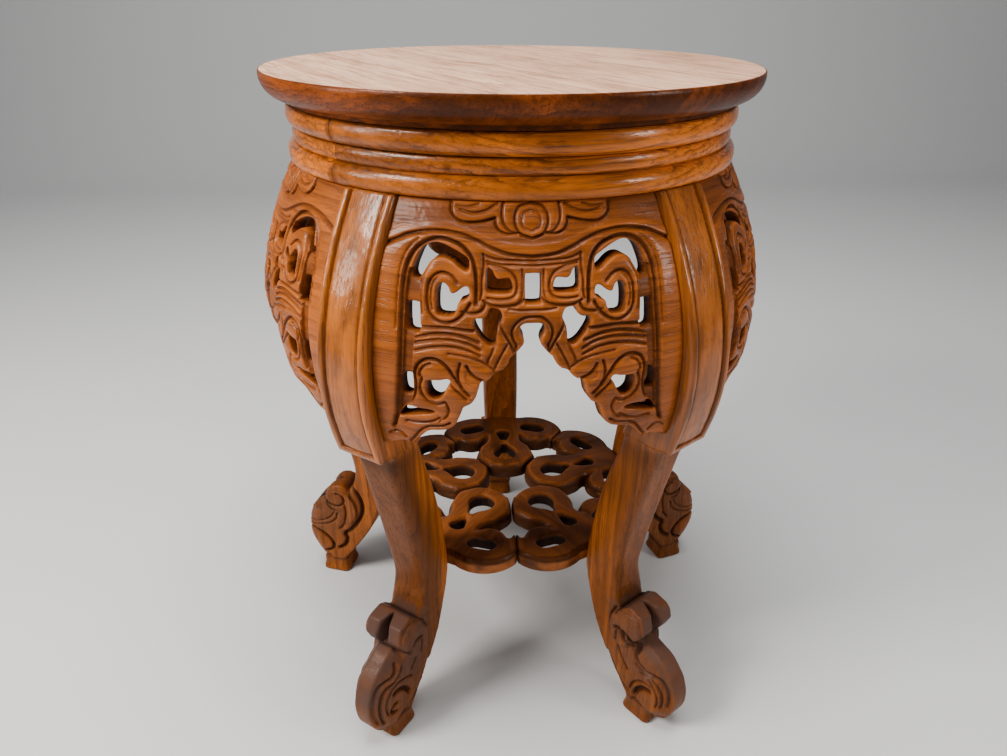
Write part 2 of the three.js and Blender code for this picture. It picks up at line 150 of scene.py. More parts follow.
def bell(x, spread):
    """1 at zero, falling to 0 on both sides over a spread."""
    return np.exp(-(x / spread) ** 2)


def round_patch(turn, place, spread):
    """1 at a place round the stand, falling to 0 over a spread, all in degrees."""
    return bell((turn - place + 180) % 360 - 180, spread)


class Plan:
    """A fine flat grid on which outlines and cuts are measured."""

    def __init__(self, low, high, step):
        self.low = np.array(low, float)
        self.step = step
        self.u = np.arange(low[0], high[0] + step, step)
        self.v = np.arange(low[1], high[1] + step, step)

    def blank(self, value):
        """One value at every grid point."""
        return np.full((len(self.u), len(self.v)), float(value))

    def window(self, a, b, reach):
        """The part of the grid within reach of the line from a to b."""
        low = (np.minimum(a, b) - reach - self.low) / self.step
        high = (np.maximum(a, b) + reach - self.low) / self.step
        i0, j0 = np.maximum(np.floor(low).astype(int), 0)
        i1, j1 = np.maximum(np.ceil(high).astype(int) + 1, 0)
        return slice(i0, i1), slice(j0, j1)

    def distance(self, path, reach, closed=False):
        """How far each grid point is from the path, up to reach."""
        out = self.blank(reach)
        path = np.asarray(path, float)
        ends = np.roll(path, -1, 0) if closed else path[1:]
        for a, b in zip(path, ends):
            rows, columns = self.window(a, b, reach)
            u = self.u[rows][:, None] - a[0]
            v = self.v[columns][None, :] - a[1]
            along = b - a
            t = np.clip((u * along[0] + v * along[1]) / max(along @ along, 1e-9), 0, 1)
            far = np.hypot(u - t * along[0], v - t * along[1])
            out[rows, columns] = np.minimum(out[rows, columns], far)
        return out

    def inside(self, path):
        """True for the grid points that the closed path holds."""
        odd = np.zeros((len(self.u), len(self.v)), bool)
        path = np.asarray(path, float)
        for a, b in zip(path, np.roll(path, -1, 0)):
            crossed = np.nonzero((self.v >= min(a[1], b[1])) & (self.v < max(a[1], b[1])))[0]
            if len(crossed):
                u = a[0] + (self.v[crossed] - a[1]) * (b[0] - a[0]) / (b[1] - a[1])
                odd[:, crossed] ^= self.u[:, None] < u[None, :]
        return odd

    def signed(self, path, reach):
        """Distance to the closed path, below zero inside it."""
        far = self.distance(path, reach, closed=True)
        return np.where(self.inside(path), -far, far)

    def reader(self, values):
        """A function that reads the values at any place."""
        rows, columns = values.shape

        def read(u, v):
            u, v = np.broadcast_arrays(u, v)
            x = np.clip((u - self.low[0]) / self.step, 0, rows - 1.001)
            y = np.clip((v - self.low[1]) / self.step, 0, columns - 1.001)
            i = x.astype(int)
            j = y.astype(int)
            x = x - i
            y = y - j
            near = values[i, j] * (1 - y) + values[i, j + 1] * y
            far = values[i + 1, j] * (1 - y) + values[i + 1, j + 1] * y
            return near * (1 - x) + far * x
        return read


def carve(plan, strokes, pillow, spread):
    """Depth of a set of cuts: (depth, half width, points). The wood beside a cut is rounded over."""
    depth = plan.blank(0)
    near = plan.blank(4 * spread)
    for deep, half, points in strokes:
        far = plan.distance(smooth_path(points), 4 * spread)
        depth = np.maximum(depth, deep * (1 - ramp(far, 0, 1.6 * half)))
        near = np.minimum(near, far + max(0, 1.3 - deep))
    rounded = pillow * np.exp(-near / spread)
    return depth + rounded, depth


def hand_marks(plan, size, seed):
    """Soft random unevenness between -1 and 1, with marks of about this size in millimetres."""
    random = np.random.default_rng(seed)
    cells = random.uniform(-1, 1, (int((plan.u[-1] - plan.u[0]) / size) + 4,
                                   int((plan.v[-1] - plan.v[0]) / size) + 4))
    x = (plan.u - plan.u[0])[:, None] / size
    y = (plan.v - plan.v[0])[None, :] / size
    i = x.astype(int)
    j = y.astype(int)
    a = ramp(x - i, 0, 1)
    b = ramp(y - j, 0, 1)
    near = cells[i, j] * (1 - b) + cells[i, j + 1] * b
    far = cells[i + 1, j] * (1 - b) + cells[i + 1, j + 1] * b
    return near * (1 - a) + far * a


# Closed meshes from a distance field
CORNERS = np.array([(c & 1, c >> 1 & 1, c >> 2 & 1) for c in range(8)])
EDGES = [(a, b) for a in range(8) for b in range(a + 1, 8) if np.abs(CORNERS[a] - CORNERS[b]).sum() == 1]


def skin(field, xs, ys, zs):
    """Points and four-sided faces of the surface where the field is zero."""
    axes = [xs, ys, zs]
    values = field(xs[:, None, None], ys[None, :, None], zs[None, None, :])
    inside = values < 0
    nx, ny, nz = inside.shape
    count = np.zeros((nx - 1, ny - 1, nz - 1), np.int8)
    for i, j, k in CORNERS:
        count += inside[i:nx - 1 + i, j:ny - 1 + j, k:nz - 1 + k]
    mixed = (count > 0) & (count < 8)
    number = np.full(mixed.shape, -1)
    cells = np.stack(np.nonzero(mixed), 1)
    number[mixed] = np.arange(len(cells))
    total = np.zeros((len(cells), 3))
    hits = np.zeros(len(cells))
    for a, b in EDGES:
        ends = []
        for c in (a, b):
            place = cells + CORNERS[c]
            ends.append((place, values[place[:, 0], place[:, 1], place[:, 2]]))
        (pa, va), (pb, vb) = ends
        cross = (va < 0) != (vb < 0)
        share = (va[cross] / (va[cross] - vb[cross]))[:, None]
        start = np.stack([axes[n][pa[cross, n]] for n in range(3)], 1)
        end = np.stack([axes[n][pb[cross, n]] for n in range(3)], 1)
        total[cross] += start + (end - start) * share
        hits[cross] += 1
    points = total / hits[:, None]
    faces = []
    for axis in range(3):
        side = [(axis + 1) % 3, (axis + 2) % 3]
        low = np.moveaxis(inside, [axis] + side, [0, 1, 2])
        grid = np.moveaxis(number, [axis] + side, [0, 1, 2])
        change = low[:-1, 1:-1, 1:-1] != low[1:, 1:-1, 1:-1]
        i, j, k = np.nonzero(change)
        quad = np.stack([grid[i, j, k], grid[i, j + 1, k], grid[i, j + 1, k + 1], grid[i, j, k + 1]], 1)
        outward = low[:-1, 1:-1, 1:-1][change]
        quad[~outward] = quad[~outward][:, ::-1]
        faces.append(quad)
    return settle(field, points), np.vstack(faces)


def slope(field, points, reach=0.2):
    """Direction and steepness of the field at each point."""
    out = np.zeros_like(points)
    for n in range(3):
        step = np.zeros(3)
        step[n] = reach
        ahead = points + step
        behind = points - step
        out[:, n] = (field(*ahead.T) - field(*behind.T)) / (2 * reach)
    return out


def settle(field, points, rounds=2, most=0.35):
    """Moves the points onto the surface."""
    for _ in range(rounds):
        rise = slope(field, points)
        steep = np.maximum((rise ** 2).sum(1), 0.25)
        move = -(field(*points.T) / steep)[:, None] * rise
        length = np.linalg.norm(move, axis=1)[:, None]
        points = points + move * np.minimum(1, most / np.maximum(length, 1e-9))
    return points


def thin_out(points, faces, most):
    """Merges faces where the surface is flat, until at most this many triangles are left."""
    count = 2 * len(faces)
    if count <= most:
        return points, faces
    thing = make_object("thinned", points, faces, {})
    modifier = thing.modifiers.new("thin", "DECIMATE")
    modifier.ratio = most / count
    bpy.context.view_layer.update()
    graph = bpy.context.evaluated_depsgraph_get()
    mesh = bpy.data.meshes.new_from_object(thing.evaluated_get(graph), depsgraph=graph)
    out = read_points(mesh)
    mesh.calc_loop_triangles()
    triangles = np.zeros(3 * len(mesh.loop_triangles), np.int32)
    mesh.loop_triangles.foreach_get("vertices", triangles)
    bpy.data.objects.remove(thing)
    bpy.data.meshes.remove(mesh)
    return out, triangles.reshape(-1, 3)


def read_points(mesh):
    """The mesh's points in millimetres."""
    out = np.zeros(len(mesh.vertices) * 3)
    mesh.vertices.foreach_get("co", out)
    return out.reshape(-1, 3) / MM


def write_layer(mesh, key, values):
    """Stores a number or vector at each point of a mesh."""
    kind, place = ("FLOAT_VECTOR", "vector") if np.ndim(values) == 2 else ("FLOAT", "value")
    layer = mesh.attributes.get(key) or mesh.attributes.new(key, kind, "POINT")
    layer.data.foreach_set(place, np.ascontiguousarray(values, np.float32).ravel())


def make_object(name, points, faces, attributes, link=True):
    """A mesh object from points in millimetres, with its own number or vector at each point."""
    mesh = bpy.data.meshes.new(name)
    mesh.from_pydata((points * MM).tolist(), [], faces.tolist() if hasattr(faces, "tolist") else faces)
    for key, values in attributes.items():
        write_layer(mesh, key, values)
    mesh.validate()
    mesh.shade_smooth()
    thing = bpy.data.objects.new(name, mesh)
    if link:
        bpy.context.scene.collection.objects.link(thing)
    return thing


def finish_piece(piece, slot, *nodes):
    """Rides a finished piece on the stand, in place of its CAD nodes."""
    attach(piece, "root")
    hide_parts(*nodes)


# Geometry Nodes helpers
def new_tree(name, inputs):
    """A geometry tree with named inputs and one geometry output."""
    tree = bpy.data.node_groups.new(name, "GeometryNodeTree")
    tree.interface.new_socket("Geometry", in_out="OUTPUT", socket_type="NodeSocketGeometry")
    tree.interface.new_socket("Geometry", in_out="INPUT", socket_type="NodeSocketGeometry")
    for label, kind, value in inputs:
        socket = tree.interface.new_socket(label, in_out="INPUT", socket_type=kind)
        if value is not None:
            socket.default_value = value
    return tree, tree.nodes.new("NodeGroupInput"), tree.nodes.new("NodeGroupOutput")


def link_value(tree, value, socket):
    """Links a socket, or sets a plain value."""
    if isinstance(value, bpy.types.NodeSocket):
        tree.links.new(value, socket)
    else:
        socket.default_value = value


def add(tree, kind, settings=None, **values):
    """A node with its settings, and its inputs by name, as values or as sockets to link."""
    node = tree.nodes.new(kind)
    for key, value in (settings or {}).items():
        setattr(node, key, value)
    for key, value in values.items():
        name = key.replace("_", " ")
        socket = next(s for s in node.inputs if s.name.lower() == name.lower() and s.enabled)
        link_value(tree, value, socket)
    return node


def run_tree(name, tree, values, source=None):
    """The plain mesh that a tree gives for these input values."""
    mesh = source.data if source else bpy.data.meshes.new(name + "_seed")
    thing = bpy.data.objects.new(name, mesh)
    modifier = thing.modifiers.new("make", "NODES")
    modifier.node_group = tree
    for item in tree.interface.items_tree:
        if item.in_out == "INPUT" and item.name in values:
            modifier[item.identifier] = values[item.name]
    bpy.context.scene.collection.objects.link(thing)
    bpy.context.view_layer.update()
    graph = bpy.context.evaluated_depsgraph_get()
    made = bpy.data.meshes.new_from_object(thing.evaluated_get(graph), depsgraph=graph)
    thing.modifiers.clear()
    thing.data = made
    made.name = name
    return thing


def place_tree(material):
    """Sets a carved piece at its place round the stand, with a little unevenness of hand work."""
    tree, given, result = new_tree("place carved piece", [
        ("Turn", "NodeSocketFloat", 0.0), ("Shift", "NodeSocketFloat", 0.0),
        ("Unevenness", "NodeSocketFloat", 0.0), ("Scale", "NodeSocketFloat", 20.0),
        ("Seed", "NodeSocketFloat", 0.0),
    ])
    place = add(tree, "GeometryNodeInputPosition")
    slack = add(tree, "GeometryNodeInputNamedAttribute", {"data_type": "FLOAT"}, Name="slack")
    noise = add(tree, "ShaderNodeTexNoise", {"noise_dimensions": "4D"}, Vector=place.outputs[0],
                Scale=given.outputs["Scale"], W=given.outputs["Seed"], Detail=1.0)
    amount = sum_up(tree, "MULTIPLY", given.outputs["Unevenness"], slack.outputs[0])
    offset = add(tree, "ShaderNodeVectorMath", {"operation": "SCALE"}, Vector=centred(tree, noise),
                 Scale=amount)
    moved = add(tree, "GeometryNodeSetPosition", Geometry=given.outputs["Geometry"],
                Offset=offset.outputs[0])
    turn = add(tree, "ShaderNodeCombineXYZ", Z=given.outputs["Turn"])
    shift = add(tree, "ShaderNodeCombineXYZ", Y=given.outputs["Shift"])
    placed = add(tree, "GeometryNodeTransform", Geometry=moved.outputs[0],
                 Translation=shift.outputs[0], Rotation=turn.outputs[0])
    whole = add(tree, "GeometryNodeRealizeInstances", Geometry=placed.outputs[0])
    painted = add(tree, "GeometryNodeSetMaterial", Geometry=whole.outputs[0], Material=material)
    tree.links.new(painted.outputs[0], result.inputs[0])
    return tree


def set_round(name, source, layers, tree, kind, i):
    """Copy i of a carved piece, turned to its place, with a place in the plank and a tone of its own."""
    piece = run_tree(name, tree, {
        "Turn": math.radians(kind["turn"] + i * LEG_STEP), "Shift": AXIS_Y * MM,
        "Unevenness": kind["unevenness"] * bpy.context.scene.stand_sizes.unevenness,
        "Scale": 22.0, "Seed": float(kind["seed"] + i),
    }, source)
    write_layer(piece.data, "grain", layers["grain"] + PLANK_STEP * (i + 1))
    write_layer(piece.data, "tone", layers["tone"] + kind["tones"][i])
    piece.data.set_sharp_from_angle(angle=math.radians(kind["crease"]))
    return piece


# Wood
def sum_up(tree, operation, *values, kind="ShaderNodeMath"):
    """One arithmetic node, for numbers or for vectors."""
    node = tree.nodes.new(kind)
    node.operation = operation
    for value, socket in zip(values, node.inputs):
        link_value(tree, value, socket)
    return node.outputs[0]


def total(tree, start, *terms):
    """A starting number, and added to it each term: a value and what it is multiplied by."""
    for value, factor in terms:
        start = sum_up(tree, "MULTIPLY_ADD", value, factor, start)
    return start


def centred(tree, noise):
    """A noise node's colour as a vector about zero."""
    return sum_up(tree, "SUBTRACT", noise.outputs["Color"], (0.5, 0.5, 0.5), kind="ShaderNodeVectorMath")


def blend(tree, share, a, b):
    """Mixes two colours by a share."""
    node = tree.nodes.new("ShaderNodeMix")
    node.data_type = "RGBA"
    link_value(tree, share, node.inputs[0])
    link_value(tree, a, node.inputs[6])
    link_value(tree, b, node.inputs[7])
    return node.outputs[2]


def band(tree, value, low, high, out_low=0.0, out_high=1.0):
    """Maps a range smoothly onto another."""
    node = tree.nodes.new("ShaderNodeMapRange")
    node.interpolation_type = "SMOOTHSTEP"
    link_value(tree, value, node.inputs[0])
    for n, number in enumerate((low, high, out_low, out_high)):
        node.inputs[n + 1].default_value = number
    return node.outputs[0]


def streaks(tree, where, across, along, detail=3.0, rough=0.55, distortion=0.0):
    """Noise drawn out along the grain. The sizes are repeats per metre."""
    stretch = add(tree, "ShaderNodeMapping", Vector=where, Scale=(across, across, along))
    noise = add(tree, "ShaderNodeTexNoise", Vector=stretch.outputs[0], Scale=1.0, Detail=detail,
                Roughness=rough, Distortion=distortion)
    return noise.outputs[0]


def attribute(tree, name):
    """The number or vector that a piece's points carry."""
    return add(tree, "ShaderNodeAttribute", {"attribute_name": name})


def wandering(tree, where, reach):
    """The place in the plank, moved about by up to reach in metres, so that the grain wanders."""
    stretch = add(tree, "ShaderNodeMapping", Vector=where, Scale=(24, 24, 9))
    noise = add(tree, "ShaderNodeTexNoise", Vector=stretch.outputs[0], Scale=1.0, Detail=1.0)
    sideways = sum_up(tree, "MULTIPLY", centred(tree, noise), (2 * reach, 2 * reach, 0),
                      kind="ShaderNodeVectorMath")
    return sum_up(tree, "ADD", where, sideways, kind="ShaderNodeVectorMath")


def mixed(colour, other, share):
    """A colour part of the way to another."""
    return tuple(a + (b - a) * share for a, b in zip(colour[:3], other[:3])) + (1.0,)


def scaled(colour, share):
    """A lighter or darker form of a colour."""
    return tuple(c * share for c in colour[:3]) + (1.0,)


def colour_steps(tree, value, steps):
    """Maps a number to colours, with a smooth change between them."""
    node = tree.nodes.new("ShaderNodeValToRGB")
    node.color_ramp.interpolation = "B_SPLINE"
    while len(node.color_ramp.elements) < len(steps):
        node.color_ramp.elements.new(0.5)
    for element, (place, colour) in zip(node.color_ramp.elements, steps):
        element.position = place
        element.color = colour
    link_value(tree, value, node.inputs[0])
    return node.outputs[0]


def wood(name, light, middle, dark, gloss, coat=0.3, shine=0.14, lines=0.5, pores=0.5, ring_width=9.0,
         blotch=0.5, wander=0.004, patina_and_shade=(0.014, 0.0042, 0.0014, 1), dusty=(0.085, 0.041, 0.029, 1)):
    """Hardwood: growth rings, fibre, pores, worn high spots with painted highlights, dull places, and dark
    cuts with painted shade.

    The piece's points carry grain (place in the plank, grain along Z), cut (0 to 1, how deep in the
    carving, and where shade is painted), wear_and_highlight and dull (0 to 1) and tone (a shift from
    piece to piece, and painted light and shade)."""
    material = bpy.data.materials.new(name)
    material.use_nodes = True
    tree = material.node_tree
    tree.nodes.clear()
    grain = wandering(tree, attribute(tree, "grain").outputs["Vector"], wander)
    cut = attribute(tree, "cut").outputs["Fac"]
    wear_and_highlight = attribute(tree, "wear_and_highlight").outputs["Fac"]
    tone = attribute(tree, "tone").outputs["Fac"]
    dull = attribute(tree, "dull").outputs["Fac"]

    drift = streaks(tree, grain, 26, 5, detail=2.0)
    band_noise = streaks(tree, grain, 130, 6, detail=3.0, rough=0.6, distortion=0.3)
    fibre = streaks(tree, grain, 420, 9, detail=4.0, rough=0.65)
    hair = streaks(tree, grain, 1100, 38, detail=2.0)
    patch = streaks(tree, grain, 60, 30, detail=4.0)
    squeeze = add(tree, "ShaderNodeMapping", Vector=grain, Scale=(1, 1, 0.05),
                  Location=(0.031, 0.022, 0))
    rings = add(tree, "ShaderNodeTexWave", {"wave_type": "RINGS", "rings_direction": "Z",
                                            "wave_profile": "SAW"},
                Vector=squeeze.outputs[0], Scale=314 / ring_width, Distortion=9.0,
                Detail=3.0, Detail_Scale=0.8, Detail_Roughness=0.6)
    late = band(tree, rings.outputs["Fac"], 0.45, 1.0)
    late = sum_up(tree, "MULTIPLY", late, band(tree, band_noise, 0.38, 0.62, 0.25, 1.0))

    shade = total(tree, -1.1 - blotch / 2, (drift, 1.9), (tone, 1.0), (band_noise, 1.3), (patch, blotch))
    base = colour_steps(tree, shade, [
        (0.0, mixed(dark, middle, 0.35)), (0.35, mixed(dark, middle, 0.8)), (0.6, middle), (1.0, light),
    ])
    base = blend(tree, sum_up(tree, "MULTIPLY", late, lines), base, dark)
    base = blend(tree, band(tree, fibre, 0.46, 0.66, 0.0, 0.75 * lines), base, dark)
    pore = band(tree, hair, 0.56, 0.68, 0.0, pores)
    base = blend(tree, pore, base, dark)
    # Wear, with painted highlights, lightens the wood towards the light colour
    worn = sum_up(tree, "MULTIPLY", wear_and_highlight, band(tree, patch, 0.32, 0.6))
    base = blend(tree, worn, base, light)
    dust = sum_up(tree, "MULTIPLY", band(tree, dull, 0.35, 1.0), band(tree, patch, 0.3, 0.6, 0.6, 1.0))
    base = blend(tree, dust, base, dusty)
    # Patina in the cuts, with painted shade in recesses, grooves and under parts
    deep = sum_up(tree, "MULTIPLY", cut, band(tree, patch, 0.2, 0.7, 0.85, 1.1))
    base = blend(tree, deep, base, patina_and_shade)

    rough = total(tree, gloss - 0.15 * blotch, (patch, 0.3 * blotch + 0.05), (cut, 0.4), (pore, 0.25),
                  (dull, 0.12))
    relief = total(tree, 0.0, (pore, -0.9), (fibre, 0.8), (patch, 3.2 * blotch))
    bump = add(tree, "ShaderNodeBump", Strength=0.6, Distance=0.0003, Height=relief)
    shader = tree.nodes.new("ShaderNodeBsdfPrincipled")
    link_value(tree, base, shader.inputs["Base Color"])
    link_value(tree, rough, shader.inputs["Roughness"])
    link_value(tree, bump.outputs[0], shader.inputs["Normal"])
    link_value(tree, bump.outputs[0], shader.inputs["Coat Normal"])
    shader.inputs["Specular IOR Level"].default_value = shine
    lacquer = band(tree, sum_up(tree, "MAXIMUM", dull, cut), 0.0, 0.4, coat, 0.06)
    link_value(tree, lacquer, shader.inputs["Coat Weight"])
    shader.inputs["Coat Roughness"].default_value = 0.13
    output = tree.nodes.new("ShaderNodeOutputMaterial")
    tree.links.new(shader.outputs[0], output.inputs[0])
    return material


# The barrel that legs and aprons follow
BELLY_RADIUS = 185.8
BELLY_Z = 297
BELLY_FULLNESS = 1.9
SHOULDER_RADIUS = 150
HEM_RADIUS = 175
HEM_Z = 241.6
APRON_SETBACK_TOP = 2
APRON_SETBACK_BELLY = 7.5


def face_radius(z):
    """Radius of the legs' outer face at a height."""
    z = np.asarray(z, float)
    above = z >= BELLY_Z
    span = np.where(above, SHOULDER_Z - BELLY_Z, BELLY_Z - HEM_Z)
    drop = BELLY_RADIUS - np.where(above, SHOULDER_RADIUS, HEM_RADIUS)
    return BELLY_RADIUS - drop * np.abs((z - BELLY_Z) / span) ** BELLY_FULLNESS


def apron_radius(z):
    """Radius of the aprons' outer face at a height."""
    share = np.minimum(1, (SHOULDER_Z - z) / (SHOULDER_Z - BELLY_Z))
    return face_radius(z) - APRON_SETBACK_TOP - (APRON_SETBACK_BELLY - APRON_SETBACK_TOP) * share


# Apron drawing: the right half, in millimetres along the face and up
SCALLOP = [
    (0, 342.4), (4.5, 342), (6.8, 340), (6.3, 337.3), (4.8, 334.5), (4.6, 331.5), (6.5, 328.8),
    (9.5, 325.3), (12, 323.5), (13.5, 320), (16.5, 317), (20.5, 315.3), (23, 312.3), (26, 309.9),
    (29, 308.8), (30.5, 305), (31.8, 299.8), (34.5, 295.3), (38, 293.2), (40, 291), (41.5, 286.5),
    (44, 280.5), (48.5, 276.6), (54, 275), (60, 273.8), (64.5, 270), (69.5, 264.3), (73, 262),
    (78, 262.5), (84, 259.8), (90, 256.5), (97, 253.3), (112, 248.5),
]
ARCH_SLOT = [
    (34.5, 370), (35, 374), (39, 376.5), (45, 379.3), (51, 381), (57, 380), (62, 376.5), (65, 371),
    (67, 365.5), (66.5, 362), (63.5, 361.5), (61, 364.5), (58, 369), (54, 372.8), (49, 373.9),
    (44, 372.5), (39.5, 369.3), (36, 367.8),
]
COMMA_HOLE = [
    (34.5, 357.5), (35.5, 360.2), (38, 359.8), (41.5, 357.3), (44.5, 356.5), (46, 359.5),
    (48.5, 361.3), (51.5, 360), (53, 356), (53.5, 350), (52.8, 345), (48.5, 344.3), (44, 345),
    (42, 348.5), (40.5, 352), (37.5, 353.3), (35.3, 355),
]
BOX_HOLE = [
    (11, 361), (12.3, 365), (15, 365.4), (18.5, 365), (20.5, 366.5), (22, 369), (24.8, 370),
    (25.3, 364), (24.8, 358.3), (18, 357.6), (12, 358.3),
]
KITE_HOLE = [
    (16.5, 345), (17.5, 348.8), (20, 350), (23.5, 349.8), (25, 346.5), (28, 344.8), (31.5, 344.3),
    (32.5, 341), (30.5, 337), (27, 332.5), (23, 330), (20, 331.5), (19.5, 336.5), (18.5, 341),
]
SIDE_SLOT = [
    (63.2, 347.5), (64.5, 349.3), (69.5, 349.3), (71.3, 347.3), (71.5, 336), (69.5, 333.7),
    (65, 333.9), (63.1, 336),
]
LOWER_SLOT = [
    (68.9, 308), (72.5, 309.3), (76, 307.8), (77, 303), (76.3, 297), (73, 295.8), (69.3, 298.5),
]
HOOK_HOLE = [
    (46.3, 307.3), (47.8, 309.2), (52, 308.2), (57, 307.6), (60.2, 307), (60.8, 302), (59.5, 297.8),
    (56, 295.8), (52.5, 297), (50, 300.5), (48, 304.5),
]
CRESCENT_HOLE = [
    (56, 287.7), (60, 288.6), (66, 288.5), (72, 289), (75.5, 287.5), (78.8, 282.5), (77.5, 281.2),
    (71, 282.8), (64, 284.8), (58, 286.2),
]
MIDDLE_HOLE = [
    (-4.3, 366), (-2.8, 367.5), (2.8, 367.5), (4.3, 366), (4.3, 353.8), (2.8, 352.3), (-2.8, 352.3),
    (-4.3, 353.8),
]
HALF_HOLES = [ARCH_SLOT, COMMA_HOLE, BOX_HOLE, KITE_HOLE, SIDE_SLOT, LOWER_SLOT, HOOK_HOLE,
              CRESCENT_HOLE, MIDDLE_HOLE]

# Line that frames the carving, from the middle over the arch and down to the foot of the panel
FRAME_LINE = [
    (31, 352), (30.7, 362), (31.5, 370), (34, 376), (39, 380.5), (46, 383), (53, 383), (60, 380.5),
    (65.5, 376), (69.5, 369), (71.8, 360), (73.2, 348), (74.4, 336), (75.6, 322), (77, 308),
    (78.6, 294), (80, 283), (82.5, 274),
]
APRON_CUTS = [
    # Bow-shaped moulding over the carving, and the lines under its middle
    (1.9, 1.1, [(0, 375.6), (12, 377), (22, 380), (30, 383.2), (38, 385.7), (48, 386.9), (58, 386.2),
                (68, 384), (76, 381), (84, 377.8)]),
    (1.1, 0.8, [(0, 373.4), (10, 373.9), (20, 374.6), (26, 376.2)]),
    (1.0, 0.8, [(0, 371.1), (10, 371.6), (18, 372.1), (25, 373.2)]),
    (2.3, 1.2, FRAME_LINE),
    (0.7, 0.8, [(62, 382.6), (68, 377.6), (72.2, 370), (74.5, 360), (75.8, 348), (77, 336)]),
    # Rosette with its leaves
    (1.3, 0.8, [(0, 401.6), (6, 399.8), (8.8, 396), (8.8, 391), (6, 386.6), (0, 384.4)]),
    (0.7, 0.7, [(0, 398), (4, 396.4), (5.2, 393), (4, 389.6), (0, 388)]),
    (1.2, 0.8, [(14.6, 402), (15.8, 397), (15.2, 392), (12.2, 388.2), (8, 386.9)]),
    (1.2, 0.8, [(19.5, 394.2), (19.2, 390.8), (17, 388), (12.6, 386.7), (7, 387.4)]),
    (1.5, 0.9, [(19.5, 394.2), (28, 392.2), (36, 391.7), (41.2, 393.6), (43.2, 397), (42.6, 400.6)]),
    (1.1, 0.8, [(18, 401), (24, 397.7), (31, 396.3), (38, 397.8)]),
    (0.9, 0.7, [(28, 400.6), (34, 399), (40, 399.4)]),
    # Scroll round the comma-shaped hole
    (1.6, 1.0, [(41, 362), (44.5, 365.3), (49, 366.4), (53.5, 364.8), (56.8, 360.5), (58, 353),
                (57.3, 346.5), (54, 342.6), (48.5, 341), (43, 342.5), (38, 346.5), (34, 352)]),
    (0.9, 0.7, [(51.5, 364.3), (54.6, 360.3), (55.8, 353.5), (55.2, 347.5)]),
    (0.9, 0.8, [(57.6, 369.6), (60.6, 363), (61.3, 354), (61.1, 345)]),
    # Flutes under it
    (1.5, 1.0, [(32.5, 338), (44, 338.6), (54, 338.3), (62.6, 337.4)]),
    (1.5, 1.1, [(29.5, 331.8), (38, 334.6), (48, 335.3), (57, 334.2), (66, 331.4)]),
    (1.3, 1.0, [(28.5, 327.8), (36, 331), (46, 332.2), (56, 331.3), (66.4, 328.8)]),
    (1.2, 0.9, [(28.5, 324.4), (37, 327.6), (47, 328.6), (57, 327.3), (67, 324.4)]),
    (1.0, 0.9, [(21, 316.6), (26, 320.2), (32, 322.6), (39, 323.9), (47, 324.6)]),
    # Middle arch, its curled ends and the leaves beside it
    (1.3, 0.9, [(0, 345.8), (5, 345.2), (9.3, 342.2), (11.2, 338), (10.4, 333.8), (8.8, 330.6),
                (9.4, 327.2)]),
    (1.3, 0.9, [(9.8, 326.6), (12, 331.5), (15, 336.5), (17.3, 340.8), (18.4, 343)]),
    (1.0, 0.8, [(13.6, 331), (17, 325), (20, 319.2), (21.4, 316.2)]),
    (1.0, 0.9, [(20.4, 330.5), (22.4, 326), (24.4, 322), (24.6, 319)]),
    # Knots between the arch and the scroll
    (1.5, 1.0, [(4.8, 354.6), (9, 352.4), (15, 351.4), (22, 351.6), (27, 353.6)]),
    (1.0, 0.8, [(0, 349.2), (7, 349.4), (13, 350)]),
    (1.0, 0.8, [(5.8, 369.4), (5.6, 362), (6.2, 356.4), (8, 353.6)]),
    (1.2, 0.9, [(24.4, 371.8), (18, 370.8), (12, 368.6), (9, 364.5), (8.8, 359.6), (11.2, 356),
                (18, 354.8), (24.5, 355.2)]),
    (1.3, 0.9, [(26.6, 376.6), (26.6, 371), (27.6, 364), (27.8, 358), (28.6, 354)]),
    (1.5, 1.0, [(25.6, 352.6), (28, 348.8), (33, 347.2), (38.6, 347.4)]),
    # Lower scroll
    (1.8, 1.1, [(39.5, 304.5), (44, 311), (48, 316.8), (53.5, 320.3), (59.5, 320.3), (64.8, 317),
                (67.2, 311), (66.8, 304), (67.8, 297.5), (70.2, 292.2)]),
    (1.2, 0.9, [(57.5, 318), (62, 315.5), (64.2, 311), (62.8, 308.3), (64.3, 303), (62.6, 297.5),
                (59, 294), (54, 293), (49.5, 294.8)]),
    (1.4, 0.9, [(35.3, 300.3), (38.8, 304), (41.3, 309), (41.6, 314.5), (40.3, 319.3)]),
    (1.2, 0.9, [(37, 297.8), (41, 301.4), (44.6, 304.8), (46, 306.4)]),
    (1.6, 1.0, [(27.8, 310.2), (31.5, 311.9), (34.8, 314.8), (36.6, 318)]),
    (1.0, 0.8, [(48.8, 294.6), (47.2, 290), (49.3, 285), (53, 282)]),
    (1.2, 0.9, [(53, 284), (59, 280.6), (66, 278.9), (74, 278.6)]),
    (1.3, 0.9, [(47, 281.4), (51, 279), (56, 277.7), (61, 276.6), (65.8, 273), (69.4, 268), (73, 263.4)]),
    (0.9, 0.8, [(75, 266.6), (78.6, 269.2), (83, 269.4), (86, 267.4)]),
]
# Lower edge of the band behind the rosette, and upper and outer edge of the carved field
BAND_EDGE = [
    (-8, 380.4), (0, 380.6), (12, 381.5), (22, 383.6), (32, 387), (42, 390.2), (50, 391), (60, 390),
    (70, 387.5), (80, 384), (90, 381), (112, 378),
]
FIELD_EDGE = [(-8, 375.6), (0, 375.6), (12, 377), (22, 380), (30, 382.6), (38, 383.4)]
FIELD_EDGE += FRAME_LINE[5:] + [(85, 264), (88, 256)]
# The rosette and its leaves, which stand proud of the band
ROSETTE_BODY = [
    (-8, 384.6), (0, 384.6), (7, 387), (12.6, 386.4), (17, 387.7), (19.5, 390.6), (20, 393.8),
    (28, 391.8), (36, 391.3), (41.6, 393.2), (43.8, 397), (43.4, 401), (40, 404), (-8, 404),
]
